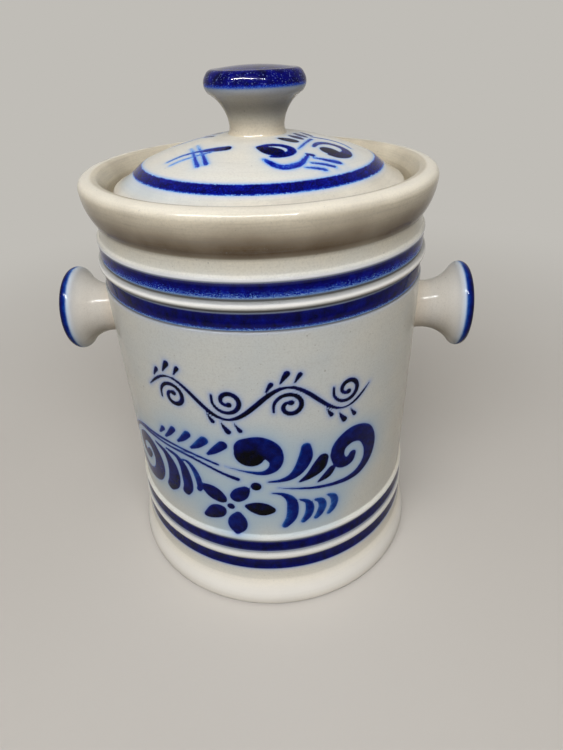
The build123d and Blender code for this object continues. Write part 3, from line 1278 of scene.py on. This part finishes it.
    def creases(self, up: np.ndarray) -> np.ndarray:
        """How dark the glaze is in the grooves, under the bead and at the edges of the bands: painted
        shade, partly glaze that pooled there.

        Args:
            up: the heights.

        Returns:
            The share at each height.
        """
        at = self.levels
        return bells(up, (
            (at["crease"], 0.5, 0.5),
            (at["bead"] + 0.1, 0.45, 0.85),
            (at["upper_groove"] - 0.6, 1.1, 0.92),
            (at["lower_groove"] + 0.3, 0.7, 0.42),
            (at["rib_foot"] + 0.2, 1.1, 0.5),
            (at["top_band"] - 0.5, 0.6, 0.85),
            (at["thin_rib"] - 0.2, 0.5, 0.8),
            (at["mid_band"] + 0.2, 0.45, 0.6),
            (at["low_rib"] - 0.1, 0.5, 0.7),
        ))

    def build(self) -> bpy.types.Object:
        """Turns the outline round the axis, with the slight waver of a hand-thrown form, a sum of two
        sines of the angle and the height, and marks the paint, the glaze's shades with their painted
        highlights and painted shade, and the bare sole.

        Returns:
            The piece.
        """
        rows, angle = self.rows(), self.columns()[None, :]
        radius, up = rows[:, :1], np.broadcast_to(rows[:, 1:], (len(rows), angle.size))
        slow, fast = (up / run for run in self.waver_run)
        waver = self.waver[0] * np.sin(2 * angle + 0.8 + slow) + self.waver[1] * np.sin(3 * angle + fast)
        thick = radius + waver * np.clip(radius / self.waver_in, 0, 1)
        rise = np.clip((up - self.levels["crease"]) / self.heave_h, 0, 1)
        heave = self.heave * np.sin(2 * angle - 0.5) * rise
        grid = turned(thick, angle, up + heave)
        count = np.arange(len(rows))[:, None]
        outside = np.broadcast_to(count <= np.argmax(rows[:, 1]), up.shape)
        under = count < np.argmax(rows[:, 0] > self.foot_r - self.bare_inset)
        marks = {
            **vars(self.paint(angle, up, outside)),
            "warmth": np.where(outside, self.warmth(angle, up), self.inside_warmth),
            "bare": np.broadcast_to(np.where(under, 1.0, 0.0), up.shape),
            "ridge": np.where(outside, self.ridges(up), 0.0),
            "crease": np.where(outside, self.creases(up), 0.0),
        }
        return closed_mesh("crock_body", grid, marks)


@dataclass
class LidSpray:
    """What is painted on the dome, seen from above: two crossed strokes, and a spray of two scrolls,
    a crescent and short leaves. It is repeated half a turn round, behind the knob."""

    crossing: tuple[Stroke, ...] = (
        Stroke(((-12.6, -27.8, 2.5), (-18, -27.4, 2.5), (-23, -26.6, 1.9)), (0.92, 0.62), 0.3),
        Stroke(((-22, -26.2, 1.7), (-30, -25.7, 1.3), (-35, -26, 1.2), (-41.4, -28.3, 1.0)),
            (0.6, 0.42), 0.35),
        Stroke(((-20, -29.6, 1.1), (-29, -31, 1.0), (-34.2, -31.8, 1.0), (-39, -33.6, 0.9)),
            (0.4, 0.3), 0.45),
        Stroke(((-31.4, -18.5, 0.6), (-29.4, -24.5, 1.1), (-28, -30, 1.3), (-26.6, -35.5, 1.4),
            (-24.7, -41.8, 1.6)), (0.34, 0.55), 0.45),
        Stroke(((-28.6, -15.5, 0.5), (-26.6, -22.2, 1.0), (-24, -30, 1.2), (-22, -37, 1.5),
            (-20.8, -41.2, 1.7)), (0.34, 0.5), 0.45),
    )
    scrolls: tuple[Stroke, ...] = (
        Stroke(((3.2, -29.8, 1.8), (7.2, -32.2, 3.8), (10.6, -33.6, 4.2), (12.6, -33.9, 2.4)),
            (0.8, 0.97), 0.2),
        Stroke(((2.4, -29, 1.3), (7, -26.6, 1.7), (12.5, -26, 1.7), (17, -28, 2.0), (18.2, -31.6, 2.2),
            (16, -35.2, 2.2), (12, -37.6, 1.8), (9, -38.4, 1.2)), (0.72, 0.56), 0.3),
        Stroke(((5.6, -41.2, 1.1), (8.2, -43.8, 2.0), (12, -46.6, 2.3), (16, -46.8, 2.4),
            (19.6, -44.8, 2.4), (22.6, -41.6, 2.0), (24.4, -37, 1.5), (25.6, -33, 1.2)),
            (0.52, 0.6), 0.45),
        Stroke(((25.4, -32.4, 1.3), (27.6, -32.6, 1.5)), (0.8, 0.84), 0.3),
        Stroke(((27.4, -10, 1.1), (25.6, -15.2, 1.0), (24, -19.8, 0.9), (22.4, -24.6, 0.9),
            (21, -28.4, 0.6)), (0.56, 0.38), 0.35),
        Stroke(((33.4, -22.2, 2.3), (35.8, -22.8, 4.3), (38, -22.8, 3.4)), (0.88, 0.95), 0.2),
        Stroke(((28.3, -21.8, 0.9), (29.8, -17, 1.4), (32.4, -13.6, 1.7), (36, -11.6, 1.8),
            (40, -11.8, 1.9), (43.4, -14.2, 2.2), (44.6, -18.4, 2.6), (43, -23, 3.0),
            (39.6, -26.2, 2.8), (36, -27.2, 1.6)), (0.5, 0.82), 0.25),
    )
    leaves: tuple[Stroke, ...] = (
        Stroke(((28.4, -35, 1.1), (34.4, -34.6, 1.7), (38.6, -34.2, 2.2), (40.4, -34.2, 1.6)),
            (0.5, 0.62), 0.45),
        Stroke(((27, -40.3, 1.1), (32.5, -39.4, 1.5), (37.6, -39.3, 1.5)), (0.48, 0.58), 0.45),
        Stroke(((24.3, -45.2, 0.9), (29, -44.2, 1.4), (33.2, -44, 1.7)), (0.46, 0.52), 0.45),
        Stroke(((12.2, -16.4, 1.3), (15.5, -17.2, 2.5), (18.6, -18, 2.4), (20.2, -18.3, 1.3)),
            (0.92, 0.88), 0.2),
        Stroke(((17, -9.8, 1.2), (20.2, -11.2, 2.2), (22.6, -12.6, 1.3)), (0.86, 0.76), 0.2),
        Stroke(((19.4, -3.6, 1.2), (22.2, -6, 2.0), (24.8, -7.8, 1.0)), (0.78, 0.68), 0.2),
        Stroke(((22.6, 2.4, 1.0), (25.2, -0.4, 1.6), (27.8, -2.6, 0.8)), (0.7, 0.6), 0.2),
        Stroke(((27.4, -5.4, 0.7), (31, -4.4, 0.9), (35, -3, 0.9), (39.6, -2.6, 0.9), (44, -4.4, 0.8),
            (47.2, -8.6, 0.5)), (0.5, 0.3), 0.25),
    )

    def strokes(self) -> list[Stroke]:
        """All of it, and again turned half a turn.

        Returns:
            The strokes.
        """
        front = [*self.crossing, *self.scrolls, *self.leaves]
        back = [
            Stroke(tuple((-x, -y, half) for x, y, half in stroke.dabs), stroke.tones, stroke.fray)
            for stroke in front
        ]
        return front + back


@dataclass
class Lid:
    """The lid: a flange that drops into the gallery, a painted step, a low dome and a hollow under it.
    The two hollow shares are a point's place by the hollow's radius and by its depth."""

    seat: float
    top: float
    edge_r: float
    flange_t: float = 4.7
    flange_round: float = 1.5
    flange_w: float = 11.1
    flange_rise: float = 6.2
    flange_sink: float = 0.5
    stripe_w: float = 4.8
    stripe_rise: float = 3.4
    stripe_swell: float = 0.15
    stripe_tone: float = 0.74
    stripe_frays: Point = (0.35, 0.55)
    stripe_over: Point = (0.2, 0.5)
    dome_swell: float = 1.5
    lid_t: float = 6.4
    hollow_r: float = 67.0
    hollow_heel: Point = (0.78, 0.55)
    hollow_turn: Point = (0.92, 0.3)
    pad_r: float = 15.9
    painted_r: float = 55.0
    soften: float = 0.4
    waver: Point = (0.1, 0.06)
    waver_in: float = 30.0
    columns: int = 360
    cell: float = 0.9
    plain_cell: float = 3.5
    turn_deg: float = 11.0
    breath_mm: float = 5.0
    breath_share: float = 0.45
    fumes_mm: Point = (3.0, 4.0)
    fumes_share: float = 0.65
    shades: tuple[Point, ...] = ((0, 0.7), (16, 0.6), (50, 0.4), (60, 0.4), (66, 0.6), (76, 0.65))
    under_warmth: float = 0.7
    spray: LidSpray = field(default_factory=LidSpray)

    @classmethod
    def from_frame(cls) -> "Lid":
        """Takes the seat's height, the top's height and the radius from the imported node."""
        low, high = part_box("lid")
        return cls(seat=low.z / MM, top=high.z / MM, edge_r=high.x / MM)

    def outline(self) -> np.ndarray:
        """From the middle of the hollow, out round the flange and up over the dome.

        Returns:
            The points, one row each.
        """
        hollow_z, ease = self.top - self.lid_t, self.flange_round
        heel, turn = (
            (out * self.hollow_r, self.seat + up * (hollow_z - self.seat))
            for out, up in (self.hollow_heel, self.hollow_turn)
        )
        flange_z = self.seat + self.flange_t
        stripe_out = (self.edge_r - self.flange_w, flange_z + self.flange_rise)
        stripe_in = (stripe_out[0] - self.stripe_w, stripe_out[1] + self.stripe_rise)
        pen = Pen((0.0, hollow_z))
        pen.arc(on_cap(heel, hollow_z), heel)
        pen.arc(turn, (self.hollow_r, self.seat))
        pen.line((self.edge_r - ease, self.seat))
        pen.bulge((self.edge_r, self.seat + ease), out=QUARTER * ease, up=-QUARTER * ease)
        pen.line((self.edge_r, flange_z - ease))
        pen.bulge((self.edge_r - ease, flange_z), out=QUARTER * ease, up=QUARTER * ease)
        pen.bulge(stripe_out, up=-self.flange_sink)
        pen.bulge(stripe_in, out=self.stripe_swell, up=self.stripe_swell)
        pen.bulge((self.pad_r, self.top), up=self.dome_swell)
        pen.line((0.0, self.top))
        return pen.softened(self.soften)

    def rows(self) -> np.ndarray:
        """Rows of the outline, close where the dome is painted.

        Returns:
            The points, one row each.
        """
        outline = self.outline()
        middle = outline[:-1, 0]
        fine = (middle > self.pad_r) & (middle < self.painted_r)
        fine &= np.arange(len(middle)) > np.argmax(outline[:, 0])
        return spaced_rows(outline, np.where(fine, self.cell, self.plain_cell), self.turn_deg)

    def paint(self, radius: np.ndarray, angle: np.ndarray, grid: np.ndarray) -> Brushwork:
        """The stripe, the spray, and the blue breath that the stripe leaves on the left of the lid:
        a bell curve of the radius, times minus the sine of the angle.

        Args:
            radius: the rows' radii.
            angle: the columns' angles from the front.
            grid: each place.

        Returns:
            The brushwork.
        """
        across, along = grid[..., 0], grid[..., 1]
        outer = self.edge_r - self.flange_w
        work = Brushwork.blank(across.shape)
        low, high = -outer - self.stripe_over[0], self.stripe_w - outer + self.stripe_over[1]
        inward = np.broadcast_to(-radius, across.shape)
        work.band(inward, low, high, self.stripe_tone, self.stripe_frays)
        for stroke in self.spray.strokes():
            work.stroke(across, along, stroke)
        work.breathe(across, along, self.spray.strokes(), self.breath_mm, self.breath_share)
        off, half = self.fumes_mm
        fumes = np.exp(-(((radius - outer - off) / half) ** 2)) * np.clip(-np.sin(angle), 0, 1)
        work.wash = np.maximum(work.wash, self.fumes_share * fumes)
        return work

    def build(self) -> bpy.types.Object:
        """Turns the outline round the axis, with a slight waver, and marks the stripe and the spray.

        Returns:
            The piece.
        """
        rows, angle = self.rows(), around(self.columns)[None, :]
        radius, up = rows[:, :1], np.broadcast_to(rows[:, 1:], (len(rows), angle.size))
        waver = self.waver[0] * np.sin(2 * angle + 2.0) + self.waver[1] * np.sin(3 * angle)
        thick = radius + waver * np.clip(radius / self.waver_in, 0, 1)
        grid = turned(thick, angle, up)
        above = np.arange(len(rows))[:, None] > np.argmax(rows[:, 0])
        above = np.broadcast_to(above, up.shape)
        work = self.paint(radius, angle, grid)
        work.wipe(above)
        warmth = np.where(above, np.interp(radius, *zip(*self.shades)), self.under_warmth)
        none = np.zeros(up.shape)
        marks = {**vars(work), "warmth": warmth, "bare": none, "ridge": none, "crease": none}
        return closed_mesh("lid_body", grid, marks)


@dataclass
class Knob:
    """A trumpet-shaped knob: a root luted on with slip, a waisted neck and a round head, whose end is
    dipped in cobalt. Each point of the outline is two shares: of the spread from neck to head, or for
    the crown of the head's radius, and of the length."""

    length: float
    node: str
    head_r: float = 25.0
    neck_r: float = 13.6
    root_end: Point = (0.04, 0.12)
    root_sink: float = 0.3
    throat: Point = (0.22, 0.45)
    under: Point = (0.86, 0.72)
    edge: Point = (1.0, 0.83)
    shoulder: Point = (0.9, 0.93)
    crown: Point = (0.78, 0.95)
    crown_ease: float = 0.29
    crown_swell: Point = (0.4, 0.55)
    slip_fillet: float = 2.4
    bed: float = 3.0
    soften: float = 0.35
    columns: int = 160
    cell: float = 1.2
    turn_deg: float = 9.0
    dip_share: float = 0.8
    rows_past_edge: int = 12
    tone: float = 0.78
    fray: float = 0.8
    warm_share: float = 0.3
    warmths: Point = (0.55, 0.3)
    # Painted shade on the waist under the head, and a pale flank beside the dip: a painted highlight.
    ash: float = 0.0
    ash_at: Point = (0.42, 0.2)
    flank: float = 0.0
    flank_mm: Point = (4.0, 6.0)

    def place(self, shares: Point) -> Point:
        """The radius and the distance along the axis at shares of the spread and of the length."""
        return self.neck_r + (self.head_r - self.neck_r) * shares[0], shares[1] * self.length

    def outline(self) -> np.ndarray:
        """Radius and distance along the axis: from the bed's middle, out, along and over the end.

        Returns:
            The points, one row each.
        """
        neck, shoulder = self.place(self.root_end), self.place(self.shoulder)
        root = self.neck_r + self.slip_fillet
        crown = (self.crown[0] * self.head_r, self.crown[1] * self.length)
        ease = self.crown_ease * (shoulder[0] - crown[0])
        pen = Pen((0.0, -self.bed))
        pen.line((root, -self.bed))
        pen.bulge(neck, out=-self.root_sink * (root - neck[0]))
        pen.arc(self.place(self.throat), self.place(self.under))
        pen.arc(self.place(self.edge), shoulder)
        pen.bulge(crown, out=self.crown_swell[0] * ease, up=self.crown_swell[1] * ease)
        pen.arc(on_cap(crown, self.length), (0.0, self.length))
        return pen.softened(self.soften)

    def rows_and_marks(self) -> tuple[np.ndarray, dict[str, np.ndarray]]:
        """The rows of the outline and what the finish reads at each, the dip among them: it covers
        all that lies nearer to the end's middle, along the outline, than the dip's edge does. The
        pale flank beside the dip, a painted highlight, and the painted shade on the waist under the
        head are bell curves.

        Returns:
            The rows, and the marks for each row and column.
        """
        rows = spaced_rows(self.outline(), self.cell, self.turn_deg)
        travel = np.concatenate([[0.0], np.cumsum(np.hypot(*np.diff(rows, axis=0).T))])
        left = (travel[-1] - travel)[:, None]
        last = int(np.argmax(rows[:, 0])) + self.rows_past_edge
        border = np.interp(self.dip_share * self.length, rows[:last, 1], left[:last, 0])
        shape = (len(rows), self.columns)
        away, half = self.flank_mm
        waist = (self.ash_at[0], self.ash_at[1], self.ash)
        marks = {
            "reach": left**2,
            "width": float(border),
            "tone": self.tone,
            "fray": self.fray,
            "warmth": np.interp(rows[:, 1:], [0, self.warm_share * self.length], self.warmths),
            "ridge": bells(left, [(border + away, half, self.flank)]),
            "crease": bells(rows[:, 1:] / self.length, [waist]),
            "bare": 0.0,
            "wash": 0.0,
        }
        return rows, {name: np.broadcast_to(mark, shape) for name, mark in marks.items()}


@dataclass
class LidKnob(Knob):
    """The knob on the lid, which stands on the pad at the middle of the dome."""

    node: str = "lid_knob"
    head_r: float = 25.2
    neck_r: float = 13.5
    throat: Point = (0.22, 0.36)
    under: Point = (0.84, 0.61)
    edge: Point = (1.0, 0.74)
    shoulder: Point = (0.9, 0.87)
    bed: float = 1.0
    dip_share: float = 0.715
    fray: float = 0.9
    # Painted shade on the neck under the head.
    ash: float = 0.62
    seat: float = 0.0

    @classmethod
    def from_frame(cls) -> "LidKnob":
        """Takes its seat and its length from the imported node."""
        low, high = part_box("lid_knob")
        return cls(length=(high.z - low.z) / MM, seat=low.z / MM)

    def build(self) -> bpy.types.Object:
        """Turns the outline round the upright axis.

        Returns:
            The piece.
        """
        rows, marks = self.rows_and_marks()
        angle = around(self.columns)[None, :]
        radius, up = rows[:, :1], np.broadcast_to(rows[:, 1:] + self.seat, (len(rows), self.columns))
        return closed_mesh(f"{self.node}_body", turned(radius, angle, up), marks)


@dataclass
class SideKnob(Knob):
    """One of the two knobs on the wall. Its root follows the round of the wall that it is stuck to."""

    fray: float = 0.1
    flank: float = 0.35
    side: int = 1
    wall_r: float = 89.2
    level: float = 160.1
    root_share: float = 0.3

    @classmethod
    def from_frame(cls, node: str, wall_r: float) -> "SideKnob":
        """Takes its side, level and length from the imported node.

        Args:
            node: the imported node's name.
            wall_r: the radius of the wall that it is stuck to.

        Returns:
            The knob.
        """
        low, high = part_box(node)
        reach = max(abs(low.x), abs(high.x)) / MM
        side = 1 if high.x > 0 else -1
        return cls(reach - wall_r, node, side=side, wall_r=wall_r, level=(low.z + high.z) / 2 / MM)

    def build(self) -> bpy.types.Object:
        """Turns the outline round the sideways axis. Near the root each point moves in by the wall's
        sag at its distance from the axis plane, which is the wall's radius less the root of its square
        less that distance squared.

        Returns:
            The piece.
        """
        rows, marks = self.rows_and_marks()
        angle = around(self.columns)[None, :]
        radius, along = rows[:, :1], rows[:, 1:]
        front, up = radius * np.cos(angle), radius * np.sin(angle)
        sag = self.wall_r - np.sqrt(self.wall_r**2 - front**2)
        ease = np.clip(1 - along / (self.root_share * self.length), 0, 1) ** 2
        out = self.wall_r + along - sag * ease
        grid = np.stack([self.side * out, self.side * front, self.level + up], axis=-1)
        return closed_mesh(f"{self.node}_body", grid, marks)


@dataclass
class PhotoCamera:
    """The camera where the photographer held it. The pot was turned a little, so in the pot's own
    frame the camera stands that far round it."""

    distance: float = 290.85
    height: float = 298.09
    round_deg: float = 4.61
    heading_deg: float = 1.58
    down_deg: float = 33.11
    roll_deg: float = -1.99
    focal_px: float = 520.0
    long_side_px: float = 750.0
    sensor_mm: float = 36.0

    def build(self) -> None:
        """Makes the camera from its view's three axes."""
        turn, yaw = math.radians(self.round_deg), math.radians(self.heading_deg - self.round_deg)
        down, roll = math.radians(self.down_deg), math.radians(self.roll_deg)
        ahead = np.array(
            [math.sin(yaw) * math.cos(down), math.cos(yaw) * math.cos(down), -math.sin(down)]
        )
        level = np.array([math.cos(yaw), -math.sin(yaw), 0.0])
        upward = np.cross(level, ahead)
        right = math.cos(roll) * level + math.sin(roll) * upward
        top = -math.sin(roll) * level + math.cos(roll) * upward
        data = bpy.data.cameras.new("camera")
        data.sensor_width = self.sensor_mm
        data.lens = self.focal_px / self.long_side_px * self.sensor_mm
        data.clip_start = 0.01
        camera = put("camera", data)
        place = (self.distance * math.sin(turn), -self.distance * math.cos(turn), self.height)
        camera.matrix_world = facing(right, top, -ahead, np.array(place) * MM)
        bpy.context.scene.camera = camera


@dataclass
class Studio:
    """A plain pale floor, a pale surround and soft light from above and in front."""

    floor_hex: str = "#C4C0B9"
    floor_light_hex: str = "#CCC8C1"
    bounce_hex: str = "#6E645A"
    surround_hex: str = "#C0BDB7"
    floor_m: float = 12.0
    clouds_per_m: float = 3.0
    fade_m: Point = (0.16, 0.75)
    ambient: float = 0.38

    def lamp(
        self,
        use: Lamp,
        name: str,
        place: Sequence[float],
        size: Point,
        watts: float,
        hex_code: str = "#FFFFFF",
        aim: Sequence[float] = (0.0, 0.0, 0.14),
    ) -> None:
        """Hangs one rectangular lamp.

        Args:
            use: what it is for.
            name: its name.
            place: where it hangs, in metres.
            size: its width and height, in metres.
            watts: its power.
            hex_code: its colour.
            aim: the point that it faces.
        """
        data = bpy.data.lights.new(name, "AREA")
        data.shape = "RECTANGLE"
        data.size, data.size_y = size
        data.energy = watts
        data.color = linear(hex_code)[:3]
        back = np.array(place, float) - np.array(aim, float)
        back /= np.linalg.norm(back)
        side = np.cross([0.0, 0.0, 1.0], back)
        side /= np.linalg.norm(side)
        lamp = put(name, data)
        lamp.matrix_world = facing(side, np.cross(back, side), back, place)
        lamp.visible_diffuse = use is Lamp.LIGHT
        lamp.visible_glossy = use is Lamp.GLINT

    def backdrop_rays(self, tree: Tree) -> Socket:
        """Tells apart the rays that show the backdrop: seen straight, in gloss or through glass.

        Args:
            tree: the node tree that asks.

        Returns:
            1 for those rays, and 0 for the others.
        """
        rays = add(tree, "LightPath").node.outputs
        inputs = {0: rays["Is Camera Ray"], 1: rays["Is Glossy Ray"]}
        seen = add(tree, "Math", inputs, operation="MAXIMUM")
        return add(tree, "Math", {0: seen, 1: rays["Is Transmission Ray"]}, operation="MAXIMUM")

    def floor(self) -> None:
        """A matt painted floor that fades into the surround far from the crock. It is pale where it
        is seen, and bounces as little light up as dark boards would."""
        half = self.floor_m / 2
        mesh = bpy.data.meshes.new("floor")
        corners = [(-half, -half, 0), (half, -half, 0), (half, half, 0), (-half, half, 0)]
        mesh.from_pydata(corners, [], [(0, 1, 2, 3)])
        paint = bpy.data.materials.new("Matt painted floor")
        mesh.materials.append(paint)
        tree = fresh_tree(paint)
        place, seen = add(tree, "TexCoord", out="Object"), self.backdrop_rays(tree)
        cloud = add(tree, "TexNoise", {"Vector": place, "Scale": self.clouds_per_m, "Detail": 3.0})
        inputs = {0: cloud, 6: linear(self.floor_hex), 7: linear(self.floor_light_hex)}
        tint = add(tree, "Mix", inputs, out=2, data_type="RGBA")
        inputs = {0: seen, 6: linear(self.bounce_hex), 7: tint}
        tint = add(tree, "Mix", inputs, out=2, data_type="RGBA")
        matt = add(tree, "BsdfDiffuse", {"Color": tint})
        glow = add(tree, "Emission", {"Color": linear(self.surround_hex)})
        away = add(tree, "VectorMath", {0: place}, out="Value", operation="LENGTH")
        near, far = self.fade_m
        inputs = {"Value": away, "From Min": near, "From Max": far}
        fade = add(tree, "MapRange", inputs, interpolation_type="SMOOTHSTEP")
        fade = add(tree, "Math", {0: fade, 1: seen}, operation="MULTIPLY")
        surface = add(tree, "MixShader", {0: fade, 1: matt, 2: glow})
        add(tree, "OutputMaterial", {"Surface": surface})
        put("floor", mesh)

    def surround(self) -> None:
        """An even surround that lights softly and is pale where it is seen."""
        world = bpy.data.worlds.new("surround")
        bpy.context.scene.world = world
        tree = fresh_tree(world)
        strength = add(tree, "MapRange", {"Value": self.backdrop_rays(tree), "To Min": self.ambient})
        inputs = {"Color": linear(self.surround_hex), "Strength": strength}
        add(tree, "OutputWorld", {"Surface": add(tree, "Background", inputs)})

    def build(self) -> None:
        """Floor, surround and lamps."""
        self.floor()
        self.surround()
        self.lamp(Lamp.LIGHT, "ceiling", (0.0, -0.12, 2.0), (0.8, 0.2), 3.0, "#FFF9F0")
        self.lamp(Lamp.LIGHT, "above the front", (-0.1, -0.95, 1.9), (0.9, 0.2), 3.0, "#FFFAF2")
        self.lamp(Lamp.LIGHT, "window", (-0.1, -1.45, 1.65), (2.8, 0.9), 43.0, "#FBFBFF")
        self.lamp(Lamp.GLINT, "front glint", (-0.3, -1.1, 1.8), (2.4, 0.03), 200.0)


def main() -> None:
    """Builds the crock, its lid and its knobs, then the room."""
    logging.basicConfig(level=logging.INFO, format="%(name)s: %(message)s")
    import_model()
    wall = SaltGlaze("Salt-glazed stoneware wall")
    off_white = SaltGlaze(
        "Salt-glazed stoneware lid",
        cool="#D2D8DC",
        warm="#E6E1D2",
        dark="#A8A59C",
        cobalt=Cobalt(
            halo_hex="#86AEE2", wash_hex="#B2C6D8", depth_mm=0.7, halo_mm=0.7, halo_share=0.85,
            grain_mm=0.6, grain_share=1.0,
        ),
    )
    dip = SaltGlaze(
        "Salt-glazed stoneware knob",
        cool="#C9C9C2",
        warm="#D8CCB4",
        cobalt=Cobalt(
            halo_hex="#6E93BE", halo_mm=2.2, sand_tone=0.34, edge_mm=0.6, speck_mm=0.8, speck_share=0.4,
            relief_mm=0.08,
        ),
    )
    side_dip = SaltGlaze(
        "Salt-glazed stoneware side knob",
        cool="#C9CBC8",
        warm="#D0C6B6",
        grain=Grain.SIDEWAYS,
        cobalt=Cobalt(halo_hex="#A6C2E2", halo_mm=2.2, rim_share=0.5, edge_mm=0.7, depth_mm=3.2),
    )
    crock = Crock.from_frame()
    place_piece(crock.build(), "crock", wall, "crock")
    place_piece(Lid.from_frame().build(), "lid", off_white, "lid")
    place_piece(LidKnob.from_frame().build(), "lid_knob", dip, "lid")
    for node in ("side_knob_left", "side_knob_right"):
        knob = SideKnob.from_frame(node, crock.wall_r)
        place_piece(knob.build(), node, side_dip, "crock")
    PhotoCamera().build()
    Studio().build()
    bpy.context.scene.view_settings.view_transform = "Standard"


if __name__ == "__main__":
    main()
